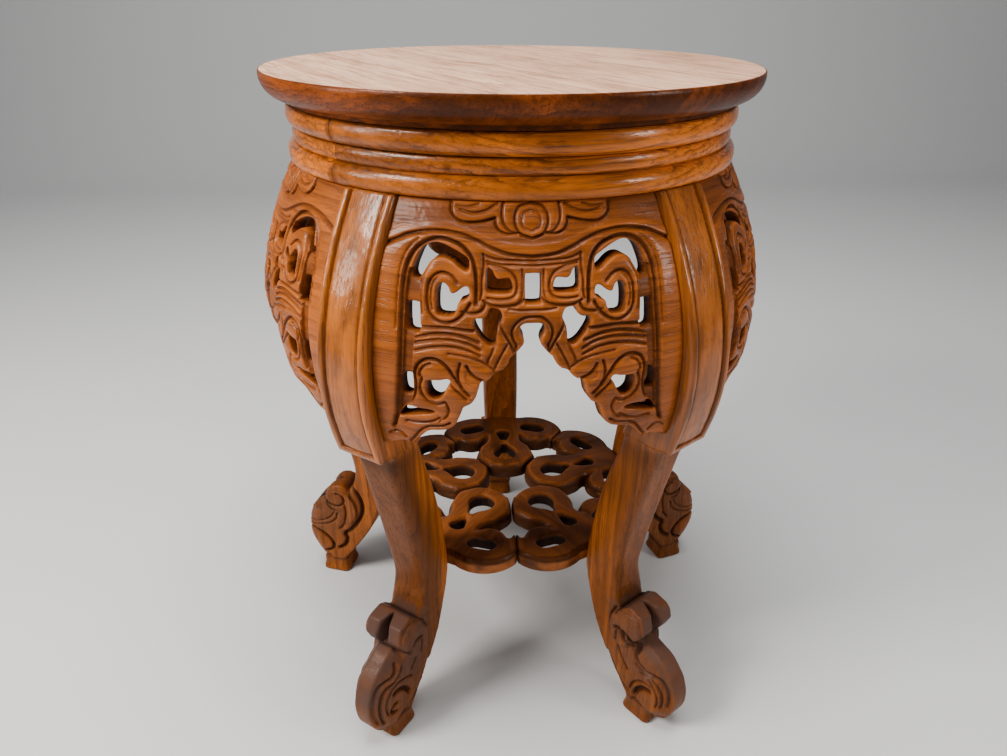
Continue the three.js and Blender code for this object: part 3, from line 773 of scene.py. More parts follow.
# Ground cut back beside the frame line and under the leaf tip: depth, outline
CHANNEL = (4.2, [
    (61.8, 362.5), (62.2, 350), (62.6, 338), (66.2, 333), (68, 318), (68.4, 308), (68.6, 298),
    (71, 291), (77, 286), (81.5, 275), (79.2, 284), (77.4, 296), (75.8, 309), (74.4, 323),
    (73.2, 337), (71.8, 350), (70.4, 360), (68, 368),
])
LEAF_GROUND = (2.0, [(30, 310.4), (33, 312.4), (36.6, 316.6), (38.2, 313), (37.4, 309.4), (34, 307.6),
                     (30.8, 307.8)])


def closed_curve(points):
    """A closed outline through the points."""
    return smooth_path(points, closed=True, parts=4)


class ApronShape:
    """The carved apron as a solid over the barrel: along the face, up, and in from the face."""

    thickness = 12
    reach = 4.0

    def __init__(self, sizes):
        self.side = sizes.leg_width / MM / 2 + GLUE_GAP
        plan = Plan((-6, 246), (113, 405), 0.28)
        outline = [(-8, SHOULDER_Z), (-8, 342.4)] + smooth_path(SCALLOP, parts=4).tolist()
        body = plan.signed(outline + [(112, SHOULDER_Z)], self.reach)
        for hole in HALF_HOLES:
            body = np.maximum(body, -plan.signed(closed_curve(hole), self.reach))
        relief, cuts = carve(plan, APRON_CUTS, sizes.relief_crown / MM, 2.6)
        relief = relief * (sizes.relief_depth / MM / 2.3)
        band_edge = smooth_path(BAND_EDGE).tolist()
        band = plan.signed(band_edge + [(112, 410), (-8, 410)], 9)
        raised = ramp(-plan.signed(ROSETTE_BODY, 4), -0.3, 0.8)
        ground = ramp(-band, 0.2, 1.6) * (1 - raised)
        moulding = 0.9 * ramp(-band, -4.2, 1.2) * (1 - raised)
        field = smooth_path(FIELD_EDGE).tolist()
        field = ramp(-plan.signed(field + [(88, 240), (-8, 240)], 4), -0.2, 1.2)
        relief = relief + 0.5 * ground + moulding + 1.0 * field
        for depth, path in (CHANNEL, LEAF_GROUND):
            relief = np.maximum(relief, depth * ramp(-plan.signed(closed_curve(path), 4), -0.5, 0.9))
        relief = relief + 0.09 * ground * hand_marks(plan, 1.4, 5)
        relief = relief + (0.05 + 0.12 * field) * hand_marks(plan, 5.5, 6)
        edge_drop = 1.1 * np.exp(body / 1.1).clip(0, 1)
        self.body = plan.reader(body)
        self.relief = plan.reader(relief + edge_drop)
        self.cuts = plan.reader(np.clip(cuts / 1.6, 0, 1))
        self.ground = plan.reader(ground)

    def world(self, s, z, d):
        """The place of a point of the apron that faces +X."""
        turn = s / apron_radius(z)
        radius = apron_radius(z) - d
        return np.stack(np.broadcast_arrays(radius * np.cos(turn), radius * np.sin(turn), z), -1)

    def field(self, s, z, d):
        """Distance from the apron's surface, below zero inside it."""
        radius = apron_radius(z)
        turn = np.abs(s) / radius
        half = math.radians(LEG_STEP / 2)
        beside = (radius - d) * (np.sin(turn) * math.cos(half) - np.cos(turn) * math.sin(half)) + self.side
        across = np.abs(s)
        sheet = softmax(self.relief(across, z) - d, self.body(across, z), 0.9)
        sheet = softmax(sheet, d - self.thickness, 0.8)
        return softmax(sheet, beside, 0.6)


def apron_mesh(sizes):
    """The carved apron that faces +X, with its numbers for the wood."""
    shape = ApronShape(sizes)
    pitch = sizes.carving_pitch / MM
    points, faces = skin(shape.field, np.arange(-106, 106.1, pitch), np.arange(246, 404.5, pitch),
                         np.arange(-1.6, 14, pitch))
    points, faces = thin_out(points, faces[:, ::-1], MOST_FACES)
    s, z, d = points.T
    relief = shape.relief(np.abs(s), z)
    cuts = shape.cuts(np.abs(s), z)
    behind = ramp(d, 10.6, 11.6)
    wall = ramp(d - relief, 0.9, 4.5) * (1 - behind)
    # Painted shade: the low ground of the carving is darker
    low = ramp(relief, 1.5, 4.2)
    rim = ramp(-shape.body(np.abs(s), z), 2.4, 0.6) * (1 - ramp(d - relief, 0.2, 0.9))
    ground = shape.ground(np.abs(s), z)
    cut = np.maximum(np.maximum(0.62 * cuts, wall), np.maximum(0.45 * low, 0.22 * ground))
    # Worn edges round the openings, which also carry a painted highlight, and a lighter band beside the
    # legs
    wear_and_highlight = np.clip(0.5 * rim + 0.3 * ramp(np.abs(s), 74, 90), 0, 1) * (1 - cut)
    grain = np.stack([z, d, s], 1) * MM
    slack = ramp(100 - np.abs(s), 10, 30) * ramp(z, 250, 262) * ramp(402 - z, 0, 14)
    # Painted shade over the middle of the carving
    tone = -0.45 * bell(s, 22) * bell(z - 322, 24)
    return shape.world(s, z, d), faces, {"grain": grain, "cut": cut, "wear_and_highlight": wear_and_highlight, "slack": slack,
                                         "tone": tone}


# Leg drawing: side outline and cuts, in millimetres out from the axis and up
LEG_BACK = [(157, 15), (127, 57), (108.5, 103.5), (107.5, 131), (119, 190), (136, 241.6),
            (155.8, 307), (120, 402.2), (117, 410.2)]
LEG_SHIN = [(166, 242.4), (152.5, 190), (138.5, 126), (140.5, 104)]
# The foot of the legs at the sides and back: a rolled toe over a ball
SIDE_FOOT = {
    "volute": (155.8, 88.8, 12.0),
    # How dark the heartwood is, with painted shade on the outer face and the shin
    "heartwood_and_shade": 0.2,
    "dust": 0.78,
    "toe": [(166.2, 84.6), (172.4, 83), (179, 78.4), (185, 70.6), (189.3, 60.5), (191, 50),
            (190.6, 40), (187.8, 30.5), (183.6, 22.5), (179, 16.6), (175.5, 13.4)],
    "cuts": [
        (3.0, 1.8, [(149, 106), (143, 102), (137.5, 97), (134, 90), (132.4, 82), (133.6, 73.5),
                    (137.6, 65.5), (142.6, 58), (147, 52.5), (151.4, 49.2), (152.4, 46), (151, 43),
                    (152.2, 37.5), (155.4, 32.5), (160, 29.2)]),
        (1.4, 1.0, [(149.8, 84), (148.5, 79), (148.4, 72), (149.9, 65), (152.4, 58.5), (157, 52.5)]),
        (1.8, 1.1, [(169, 84.8), (161, 81.4), (155, 80.4), (150.6, 83), (149.2, 87.6), (151.4, 92),
                    (156, 93.4)]),
        (1.2, 0.9, [(156.6, 72), (160, 63.5), (166.5, 57.6), (174.4, 54.4), (183.6, 52.8), (194, 50)]),
        (1.0, 0.8, [(159.6, 73.5), (163.8, 66.5), (170, 61), (178, 58), (187, 56.2), (194, 54)]),
        (2.5, 1.4, [(194, 45.2), (185.6, 48.2), (178, 46), (171.4, 41.3), (167, 35.5), (166, 30),
                    (168.6, 25.8), (175, 22.4)]),
    ],
}
# The front feet: a fuller toe that comes down over the pad, with a spiral at its end
LEFT_FOOT = {
    "volute": (157.4, 87.4, 12.4),
    "heartwood_and_shade": 1.0,
    "dust": 0.95,
    "toe": [(144.6, 91), (152, 84), (160, 79.5), (167, 77.5), (173, 75.2), (179, 71), (185, 67),
            (190.4, 61.6), (194.6, 54.6), (197, 46), (197.2, 37), (195.4, 27), (191.4, 18), (186, 12.4),
            (180, 9.6), (175, 8.8)],
    "cuts": [
        (1.6, 1.2, [(143, 88), (139, 83), (137.6, 75), (139, 67), (142.6, 59.6)]),
        (1.8, 1.3, [(146, 77.6), (151, 79), (156, 76.8)]),
        (1.5, 1.0, [(146, 74), (147.4, 66), (151.4, 58.6), (157, 53)]),
        (1.6, 1.1, [(171, 68), (173, 63.6), (177, 61), (182.6, 60), (188, 57.6), (192.6, 51.4),
                    (194.6, 43), (194, 34), (191.6, 26)]),
        (1.6, 1.1, [(167.4, 63.6), (169.6, 59.6), (174, 57), (180, 56), (185.4, 53.4), (189.2, 47),
                    (190.4, 39.6), (189.6, 31.6), (187.4, 24)]),
        (1.5, 1.0, [(157, 45.6), (163, 49.6), (170, 51.8), (177, 51.8), (182.4, 49), (185.4, 43.4),
                    (185.8, 37), (184, 30)]),
        (3.0, 1.8, [(160.6, 33), (165, 40), (171, 44.6), (177, 45.4)]),
        (2.2, 1.4, [(174.6, 34.4), (178.4, 35), (180.8, 31.8), (179.4, 28), (176, 27)]),
        (1.4, 1.0, [(137, 44), (143, 36.5), (149, 29), (155, 23), (160, 19.5)]),
    ],
}
RIGHT_FOOT = {
    "volute": (157.0, 87.0, 12.4),
    "heartwood_and_shade": 0.35,
    "dust": 0.88,
    "toe": [(144.6, 90.6), (151, 82), (158, 75.6), (165, 71.6), (172, 68), (179, 65), (185, 61.4),
            (190.6, 55.6), (195, 48), (197.4, 39.6), (197.6, 30.6), (195.2, 21.4), (190.6, 14),
            (184.4, 9.8), (178, 8.6), (174, 8.6)],
    "cuts": [
        (1.6, 1.2, [(141, 92), (138, 84), (137.2, 75), (139, 66)]),
        (2.8, 1.9, [(144.6, 76), (148, 77.6), (151.4, 75), (153, 70.6), (157, 69), (161, 67)]),
        (5.0, 1.6, [(152, 77), (157, 75.6), (161, 71)]),
        (1.5, 1.0, [(145.4, 73), (145, 65), (146.8, 57), (151, 49), (157.4, 41.4)]),
        (2.2, 1.3, [(163, 70), (164.4, 65.6), (164, 61.6)]),
        (1.6, 1.1, [(162.6, 66), (163.4, 61), (166.8, 56.6), (172.6, 54), (180, 53), (186.6, 51),
                    (191.6, 45.4), (193.8, 38), (193.6, 30)]),
        (1.5, 1.0, [(165, 53.6), (171, 50.6), (178, 49.6), (184, 47.2), (188.4, 41.6), (190, 34.6),
                    (189.4, 27)]),
        (1.5, 1.0, [(170, 48), (176.6, 46.4), (182, 43.4), (185.4, 37.6), (186.4, 31), (185.6, 25)]),
        (1.5, 1.0, [(160.6, 24), (162.6, 31.4), (167.4, 37.4), (173.6, 41), (178.6, 41.4)]),
        (3.2, 2.0, [(165.6, 22), (167.6, 28.6), (172.4, 33.8), (178.6, 36.6)]),
        (1.4, 1.0, [(137, 44), (143, 36.5), (149, 29), (155, 23), (160, 19.5)]),
    ],
}
EAR = [(139.5, 68), (138, 78), (140, 87), (145, 93.4), (152, 96), (160, 96), (167, 91), (167.6, 82),
       (163, 75), (160, 69), (153, 63.5), (145, 62.5)]
# The knobs over a front toe: directions of their flat facets in degrees, and half their length
FACETS = [20, 75, 128, 180, 232, 285, 335]
KNOB_HALF = 15.8
PAD = {"centre": 166.8, "half_depth": 11.6, "half_width": 12.4, "height": 15.5}
TOE_LOWEST = 8.6
# Half the width of the leg below the belly, half the plain strip down the middle of a front toe, and
# how far the edges are rounded, each at some heights
WIDTH_HEIGHTS = [0, 20, 60, 95, 112, 150, HEM_Z - 0.6, HEM_Z + 0.6, 403]
HALF_WIDTHS = [13.0, 13.8, 14.6, 14.8, 15.4, 16.3, 16.5]
STRIP_HEIGHTS = [10, 40, 80]
HALF_STRIPS = [7.6, 6.6, 5.8]
ROUND_HEIGHTS = [0, 18, 30, 60, 90, 120, 225, HEM_Z - 2, HEM_Z, 403]
ROUNDINGS = [3, 2.5, 2.2, 2.4, 4.8, 8, 8, 6, 1.6, 1.6]
# Where a toe is bevelled beside its middle strip: heights and radii over which the bevel sets in, and
# how soft its crease is
FRONT_BEVEL = {"heights": (93, 88), "radii": (152, 166), "crease": 0.9}
SIDE_BEVEL = {"heights": (82, 70), "radii": (160, 172), "crease": 3.0, "strip": 8.6}
# Middle of the leg's depth below the belly: heights, and how far out it lies
MIDDLE_HEIGHTS = [104, 126, 190, 242]
MIDDLE_PLACES = [124.5, 123, 135.8, 151]
CARVING_TOP = 106
# The back leg's toe is drawn in from this radius on by this share
TUCK_START = 172
TUCK_SHARE = 0.19


class LegShape:
    """A leg pointing along +X: out from the axis, across, and up."""

    def __init__(self, sizes, foot):
        self.half = sizes.leg_width / MM / 2
        self.bead = sizes.bead_width / MM
        self.volute = foot["volute"]
        self.front = foot is not SIDE_FOOT
        self.bevel = FRONT_BEVEL if self.front else SIDE_BEVEL
        plan = Plan((98, -3), (203, 406), 0.3)
        heights = np.linspace(SHOULDER_Z + 8, HEM_Z, 40)
        face = np.stack([face_radius(heights), heights], 1)
        cx, cy, radius = self.volute
        parts = [smooth_path(LEG_BACK, parts=14), face[1:], smooth_path(LEG_SHIN, parts=12)]
        if not self.front:
            parts.append(arc_points(cx, cy, radius, radius, 146, -24, 24))
        body = plan.signed(np.vstack(parts + [smooth_path(foot["toe"])]), 14)
        relief, cuts = carve(plan, foot["cuts"], 0.9, 2.6)
        low = 1 - ramp(plan.v, 101, 108)[None, :]
        raised = ramp(-plan.signed(smooth_path(EAR, closed=True), 8), -0.5, 0.8)
        relief = relief + 0.3 * hand_marks(plan, 5, 8)
        belly = Plan((-20, 238), (20, 406), 1.0)
        self.dents = belly.reader(hand_marks(belly, 6.5, 9) + 0.5 * hand_marks(belly, 2.8, 10))
        self.body = plan.reader(body)
        self.relief = plan.reader((relief - 2.9 * raised) * low)
        self.cuts = plan.reader(np.clip(cuts / 1.8, 0, 1) * low)

    def rolls(self, r, y, z):
        """Distance to the two knobs over the toe, cut with a few flat facets."""
        cx, cy, radius = self.volute
        if not self.front:
            return np.full(np.broadcast(r, y, z).shape, 9.0)
        sides = [(r - cx) * math.cos(a) + (z - cy) * math.sin(a) for a in np.radians(FACETS)]
        roll = sides[0]
        for side in sides[1:]:
            roll = softmax(roll, side, 1.8)
        roll = roll - radius
        ends = np.abs(y) - KNOB_HALF + 0.10 * np.abs(z - cy) + 0.78 * np.minimum(self.relief(r, z), 0)
        roll = softmax(roll, ends, 1.6)
        return softmax(roll, -(np.abs(y) - (r - cx + 2.0) * 0.34) * 0.94, 2.0)

    def strip(self, z):
        """Half the width of the plain strip down the middle of a front toe."""
        return np.interp(z, STRIP_HEIGHTS, HALF_STRIPS)

    def half_width(self, z):
        """Half the width of the leg at a height."""
        return np.interp(z, WIDTH_HEIGHTS, HALF_WIDTHS + [self.half, self.half])

    def panel(self, y, z):
        """Depth of the framed panel on the belly: a bead all round a slightly crowned field."""
        inset = np.minimum(self.half - np.abs(y), (z - HEM_Z) * 0.96)
        across = np.clip(inset / self.bead, 0, 1)
        bead = 1.9 * (1 - np.sqrt(np.clip(1 - (2 * across - 1) ** 2, 0, 1)))
        groove = 0.7 * bell(inset - self.bead - 0.3, 0.8)
        field = 1.5 - 0.9 * np.clip(1 - (y / (self.half - self.bead)) ** 2, 0, 1)
        return np.where(inset < self.bead, np.minimum(bead, 2.0), field) + groove

    def field(self, r, y, z):
        """Distance from the leg's surface, below zero inside it."""
        outline = self.body(r, z)
        front = ramp(r - face_radius(z), -9, -5) * ramp(z, HEM_Z - 1.5, HEM_Z)
        shaped = outline + (self.panel(y, z) + 0.14 * self.dents(y, z)) * front
        relief = self.relief(r, z)
        side = np.abs(y) - self.half_width(z) + relief
        leg = softmax(shaped, side, np.interp(z, ROUND_HEIGHTS, ROUNDINGS))
        toe = ramp(z, *self.bevel["heights"]) * ramp(r, *self.bevel["radii"])
        strip = self.strip(z) if self.front else self.bevel["strip"]
        slant = 0.80 * (np.abs(y) - strip) + 0.60 * outline + 0.8 * relief
        leg = softmax(leg, slant - 30 * (1 - toe), self.bevel["crease"])
        if self.front:
            leg = softmin(leg, self.rolls(r, y, z), 0.7)
        else:
            cx, cy, radius = self.volute
            split = (np.abs(y) - (r - cx - 1.0) * 0.40) * 0.92
            beyond = np.abs(z - cy - 3) - radius - 1.5
            leg = softmax(leg, -np.maximum(split, beyond), 3.0)
        leg = np.maximum(np.maximum(leg, TOE_LOWEST - z), z - SHOULDER_Z)
        spread = 1.2 * ramp(9 - z, 0, 7)
        pad_side = softmax(np.abs(r - PAD["centre"]) - PAD["half_depth"] - spread,
                           np.abs(y) - PAD["half_width"] - spread, 5)
        pad = softmax(pad_side, np.abs(z - PAD["height"] / 2) - PAD["height"] / 2, 2.5)
        return softmin(leg, pad, 2.0)


def tuck_toe(points):
    """Draws the toe in, for the leg that stands nearest to the back of the stand's box."""
    out = points.copy()
    out[:, 0] -= np.maximum(points[:, 0] - TUCK_START, 0) * TUCK_SHARE
    return out


def leg_mesh(sizes, foot):
    """The carved leg that points along +X, with its numbers for the wood."""
    shape = LegShape(sizes, foot)
    heights = np.concatenate([np.arange(-1.2, 108, 0.9), np.arange(108, 236, 1.7),
                              np.arange(236, 250, 0.8), np.arange(250, 404.5, 1.25)])
    points, faces = skin(shape.field, np.arange(100, 201, 0.95), np.arange(-20.2, 20.3, 0.85), heights)
    points, faces = thin_out(points, faces, MOST_FACES)
    points[:, 2] = np.clip(points[:, 2], 0, SHOULDER_Z)
    return points, faces, leg_layers(shape, foot, *points.T)


def leg_layers(shape, foot, r, y, z):
    """A leg's numbers for the wood: how deep, worn, dull and light each point is, with painted light and
    shade.
    """
    cx, cy, radius = shape.volute
    away = np.abs(y)
    shin = 1 - ramp(z, 226, 250)
    front = ramp(r - face_radius(z), -6, -3) * (z > HEM_Z)
    inset = np.minimum(shape.half - away, z - HEM_Z)

    # Heartwood towards the front of the shin, with painted shade that darkens its outer face and lightens
    # its inner edge
    middle = np.interp(z, MIDDLE_HEIGHTS, MIDDLE_PLACES)
    heart_and_shade = foot["heartwood_and_shade"] * shin * np.clip((r - middle) / 15 + 0.1, -0.8, 1)

    # Dark: cuts of the foot, heartwood, and darker low down; painted shade in the groove beside the bead,
    # in the split between the knobs, round the roll, at the neck and under the hem
    cuts = shape.cuts(r, z) * ramp(away, 6.4, 8.4) * (z < CARVING_TOP)
    groove = bell(inset - shape.bead - 0.2, 0.9) * front
    lowest = cy - radius * (0.5 if shape.front else 1.0)
    split = bell(y, 2.2) * ramp(r, cx - 3, cx + 3) * (z < cy + radius) * (z > lowest)
    near = bell(np.hypot(r - cx, z - cy) / radius - 1.08, 0.10)
    under_roll = near * ramp(cy - 2 - z, 0, 4) * ramp(r, cx - 2, cx + 4)
    over_roll = near * ramp(z, cy, cy + 4) * ramp(cx - 4 - r, 0, 4)
    notch = 1.3 * np.clip(under_roll + over_roll, 0, 1)
    neck = bell(z - 15.4, 1.4)
    low = 1 - ramp(z, 92, 112)
    under_hem = 0.25 * (1 - ramp(z, HEM_Z - 7, HEM_Z - 0.5)) * ramp(z, 215, HEM_Z - 6)
    cut = np.clip(0.62 * cuts + 0.45 * groove + 0.8 * split + 0.6 * notch + 0.5 * neck + 0.12 * low
                  + under_hem + 0.25 * np.maximum(heart_and_shade, 0) * ramp(z, 90, 115), 0, 1)

    # Worn bead; worn belly with a painted highlight; worn edges of the toe strip with a painted highlight
    crown = bell(inset - shape.bead / 2, 1.3) * front
    belly = bell(z - 318, 42) * front * ramp(12.5 - away, 0, 4)
    ridge = bell(away - shape.strip(z), 1.0) * ramp(r, 158, 170) * ramp(z, 90, 80)
    wear_and_highlight = np.clip(0.45 * crown + 0.75 * belly + 0.4 * shape.front * ridge, 0, 1) * (1 - cut)

    # Dust on the outer side of the foot and on the knobs
    outer = (1 - ramp(z, 90, 108)) * ramp(r + 0.25 * z, 146, 164) * ramp(z, 18, 66)
    foot_dust = foot["dust"] * (0.6 + 0.4 * ramp(outer, 0.2, 0.8)) * (1 - 0.25 * ramp(away, 8, 11))
    knob = ramp(1.4 - shape.rolls(r, y, z), 0, 1.0) * (1 - 0.65 * ramp(away, 13.5, KNOB_HALF - 0.3))
    knob_dust = (0.4 + 0.55 * foot["dust"]) * knob
    dull = np.maximum(np.maximum(foot_dust * ramp(outer, 0, 0.1), knob_dust), 0.34 * shin)
    return {
        "grain": np.stack([y, r - 0.6 * face_radius(np.clip(z, HEM_Z, 402)), z], 1) * MM,
        "cut": cut,
        "wear_and_highlight": wear_and_highlight,
        "slack": ramp(z, 4, 30) * (1 - ramp(z, 228, 252)) * (1 - ramp(r, 174, 184)),
        "dull": dull,
        # Heartwood with painted shade, and painted shade on the shin under the belly
        "tone": -heart_and_shade - (0.1 + 0.2 * foot["heartwood_and_shade"]) * shin,
    }


# Shelf petal drawing, pointing along +X, in millimetres
PETAL_REACH = 107
LOBE = {"centre": 80.0, "radius": 30.6}
SLOT = {"radius": 88.5, "turn": 18.7, "half_length": 5, "half_width": 6.9, "wood_beside": 8.3}
BAND_INNER = 78
LOOP = {"centre": 41.0, "reach": 23.6, "half_width": 27.0}
BULGE = {"centre": (76, 30), "radius": 15.5}
NECK = {"outer": (84, 11), "inner": (62, 8.6), "half_width": 7.6}
SHOULDER = {"outer": (62, 8.6), "inner": (52, 16), "half_width": 7.2}
# The heart-shaped and round holes: an oval with a narrow point towards another place
HEART = {"centre": 75.5, "reach": 5.6, "half_width": 6.2, "point": (75, 66.5), "point_half": 1.4}
EYE = {"centre": 41.0, "reach": 10.6, "half_width": 10.4, "point": (47, 55.5), "point_half": 2.6}
FLANK_DEPTH = 3.6


def capsule(u, v, a, b, radius):
    """Distance to a round-ended bar from a to b."""
    along = np.array(b, float) - np.array(a, float)
    t = np.clip(((u - a[0]) * along[0] + (v - a[1]) * along[1]) / (along @ along), 0, 1)
    return np.hypot(u - a[0] - t * along[0], v - a[1] - t * along[1]) - radius


def oval(u, v, form):
    """Rough distance to an ellipse on the petal's middle line."""
    share = np.hypot((u - form["centre"]) / form["reach"], v / form["half_width"])
    return (share - 1) * min(form["reach"], form["half_width"])


def pointed_hole(u, v, form, k):
    """Distance to an oval hole with a narrow point, blended over k."""
    start, end = form["point"]
    return softmin(oval(u, v, form), capsule(u, v, (start, 0), (end, 0), form["point_half"]), k)


class PetalShape:
    """A shelf petal pointing along +X: out from the axis, across, and up."""

    def __init__(self):
        plan = Plan((10, -72), (114, 72), 0.35)
        u = plan.u[:, None]
        v = plan.v[None, :]
        side = np.abs(v)
        radius = np.hypot(u, v)
        turn = np.degrees(np.arctan2(side, u))
        away = np.radians(turn - SLOT["turn"])
        reach = LOBE["radius"] ** 2 - (LOBE["centre"] * np.sin(away)) ** 2
        bow = LOBE["centre"] * np.cos(away) + np.sqrt(np.maximum(reach, 1))
        rim = radius - np.where(turn < 9.5, np.maximum(bow, PETAL_REACH), bow)
        band_inner = BAND_INNER + 2.5 * np.cos(np.radians((turn - 18) * 9)).clip(-1, 1)
        band = softmax(rim, band_inner - radius, 4)
        slot_at = math.radians(SLOT["turn"])
        along = np.array([-math.sin(slot_at), math.cos(slot_at)])
        middle = SLOT["radius"] * np.array([math.cos(slot_at), math.sin(slot_at)])
        ends = [tuple(middle + t * SLOT["half_length"] * along) for t in (-1, 1)]
        slot = capsule(u, side, ends[0], ends[1], SLOT["half_width"])
        lobe = softmax(slot - SLOT["wood_beside"], rim, 2)
        bulge = np.hypot(u - BULGE["centre"][0], side - BULGE["centre"][1]) - BULGE["radius"]
        band = softmin(softmin(band, lobe, 5), bulge, 4)
        neck = capsule(u, side, NECK["outer"], NECK["inner"], NECK["half_width"])
        shoulder = capsule(u, side, SHOULDER["outer"], SHOULDER["inner"], SHOULDER["half_width"])
        inner = softmin(oval(u, v, LOOP), shoulder, 5)
        body = softmin(softmin(band, neck, 6), inner, 6)
        holes = np.minimum(np.minimum(slot, pointed_hole(u, v, HEART, 4)), pointed_hole(u, v, EYE, 7))
        half = math.radians(LEG_STEP / 2)
        wedge = -u * math.sin(half) + side * math.cos(half) + 0.08
        body = softmax(body, wedge, 1.4)
        self.body = plan.reader(body)
        self.holes = plan.reader(holes)
        self.rim = plan.reader(rim)
        self.wedge = plan.reader(wedge)
        beside = np.maximum(ramp(-wedge, 1.0, 4.0), 0.65 * ramp(radius, 74, 66))
        self.flank = plan.reader(ramp(-rim, 2.5, 9) * beside)

    def outer(self, u, v, z):
        """Distance to the outline, drawn in towards the top where the side slopes."""
        high = np.clip((z - SHELF_FOOT) / (SHELF_TOP - SHELF_FOOT), 0, 1)
        return self.body(u, v) + FLANK_DEPTH * self.flank(u, v) * high ** 2

    def field(self, u, v, z):
        """Distance from the petal's surface, below zero inside it."""
        top = z - SHELF_TOP
        bottom = SHELF_FOOT - z
        outer = self.outer(u, v, z)
        inner = -self.holes(u, v)
        face = top + 0.25 * np.exp(outer / 3.0).clip(0, 1)
        slab = softmax(outer, face, 1.9)
        slab = softmax(slab, inner, 1.0)
        slab = softmax(slab, (inner + top) * 0.71 + 0.5, 0.6)
        slab = softmax(slab, bottom, 2.0)
        chamfer = (self.rim(u, v) + top) * 0.71 + 2.0
        return softmax(slab, chamfer, 0.8)


def petal_mesh():
    """The shelf petal that points along +X, with its numbers for the wood."""
    shape = PetalShape()
    pitch = 0.9
    points, faces = skin(shape.field, np.arange(14, 110, pitch), np.arange(-68, 68.1, pitch),
                         np.arange(SHELF_FOOT - 1.5, SHELF_TOP + 2, pitch))
    u, v, z = points.T
    points[:, 2] = np.clip(z, SHELF_FOOT, SHELF_TOP)
    rim = shape.rim(u, v)
    holes = shape.holes(u, v)
    outer = shape.outer(u, v, z)
    deep = ramp(SHELF_TOP - z, 1.2, 5.0)
    wall = deep * ramp(-rim, 2.0, 4.0) * np.maximum(ramp(holes, 2.4, 0.6), 0.6)
    seam = bell(rim + (z - SHELF_TOP) + 2.8, 0.8) * ramp(rim, -6, -3)
    notch = bell(np.degrees(np.arctan2(np.abs(v), u)) - LEG_STEP / 2, 0.894) * (u > 60)
    cut = np.clip(wall + 0.5 * seam + 0.7 * notch, 0, 1)
    # Worn edges of the top, which also carry a painted highlight
    lip = bell(np.maximum(outer, -holes) + 0.9, 0.8) * ramp(SHELF_TOP - z, 2.6, 1.2)
    wear_and_highlight = ramp(rim, -1.6, -0.6) * ramp(SHELF_TOP - z, 3.4, 5) * 0.9
    wear_and_highlight = np.maximum(wear_and_highlight, np.maximum(0.9 * lip, 0.35 * ramp(SHELF_TOP - z, 1.6, 0.2))) * (1 - cut)
    grain = np.stack([v, z, u], 1) * MM
    slack = ramp(100 - np.hypot(u, v), 0, 20) * ramp(-shape.wedge(u, v), 0.5, 7)
    return points, faces, {"grain": grain, "cut": cut, "wear_and_highlight": wear_and_highlight, "slack": slack,
                           "tone": np.zeros(len(u))}


# Top boards, whose grain runs at this angle in degrees
GRAIN_ANGLE = 25.5
BOARD_PLAY = 0.04
# Where round the rim a painted highlight lies, in degrees
RIM_PAINTED_HIGHLIGHT_PLACE = -137
LISTEL_RADIUS = 147
LISTEL_HEIGHT = 3.2
ARRIS_HEIGHT = 2.6


def top_profile():
    """Radius and height of the turned edge, from the underside up and round."""
    foot = WAIST_TOP + GLUE_GAP
    low = foot + LISTEL_HEIGHT
    high = TOP_Z - ARRIS_HEIGHT
    turn = np.radians(np.linspace(0, 90, 15))
    ovolo = np.stack([LISTEL_RADIUS + 2 + (TOP_RADIUS - LISTEL_RADIUS - 2) * np.sin(turn),
                      high - (high - low) * np.cos(turn)], 1)
    arris = [(TOP_RADIUS - 0.1, TOP_Z - 0.7), (TOP_RADIUS - 0.5, TOP_Z - 0.15), (TOP_RADIUS - 1.2, TOP_Z)]
    return np.vstack([[(LISTEL_RADIUS - 0.4, foot), (LISTEL_RADIUS, foot + 0.4), (LISTEL_RADIUS, low - 0.5),
                       (LISTEL_RADIUS + 0.6, low)], ovolo, arris])


def board_ring(low, high, radius, steps):
    """Plan of the board between two joints, cut to a circle, with its arcs and its straight sides."""
    low = max(low, -radius)
    high = min(high, radius)
    start = math.acos(high / radius)
    end = math.acos(low / radius)
    arcs = np.linspace(start, end, steps)
    upper = np.stack([np.cos(arcs), np.sin(arcs)], 1) * radius
    lower = upper[::-1] * (1, -1)
    if low == -radius:
        lower = lower[1:]
    if high == radius:
        lower = lower[:-1]
    return np.vstack([upper, lower])


def board_mesh(low, high):
    """One board of the top, with a rounded edge where it meets the air."""
    steps = 2 * max(24, int((high - low) * 0.9))
    rings = []
    first = low <= -TOP_RADIUS
    last = high >= TOP_RADIUS
    for radius, z in top_profile():
        inset = 0.2 * ramp(z, TOP_Z - 0.3, TOP_Z)
        plan = board_ring(-radius if first else low + inset, radius if last else high - inset, radius,
                          steps)
        rings.append(np.column_stack([plan, np.full(len(plan), z)]))
    count = len(rings[0])
    points = np.vstack(rings)
    faces = []
    for k in range(len(rings) - 1):
        for i in range(count):
            j = (i + 1) % count
            faces.append((k * count + i, (k + 1) * count + i, (k + 1) * count + j, k * count + j))
    faces.append(tuple(range(count)))
    top = (len(rings) - 1) * count
    faces.append(tuple(top + i for i in range(count - 1, -1, -1)))
    return points, [f[::-1] for f in faces]


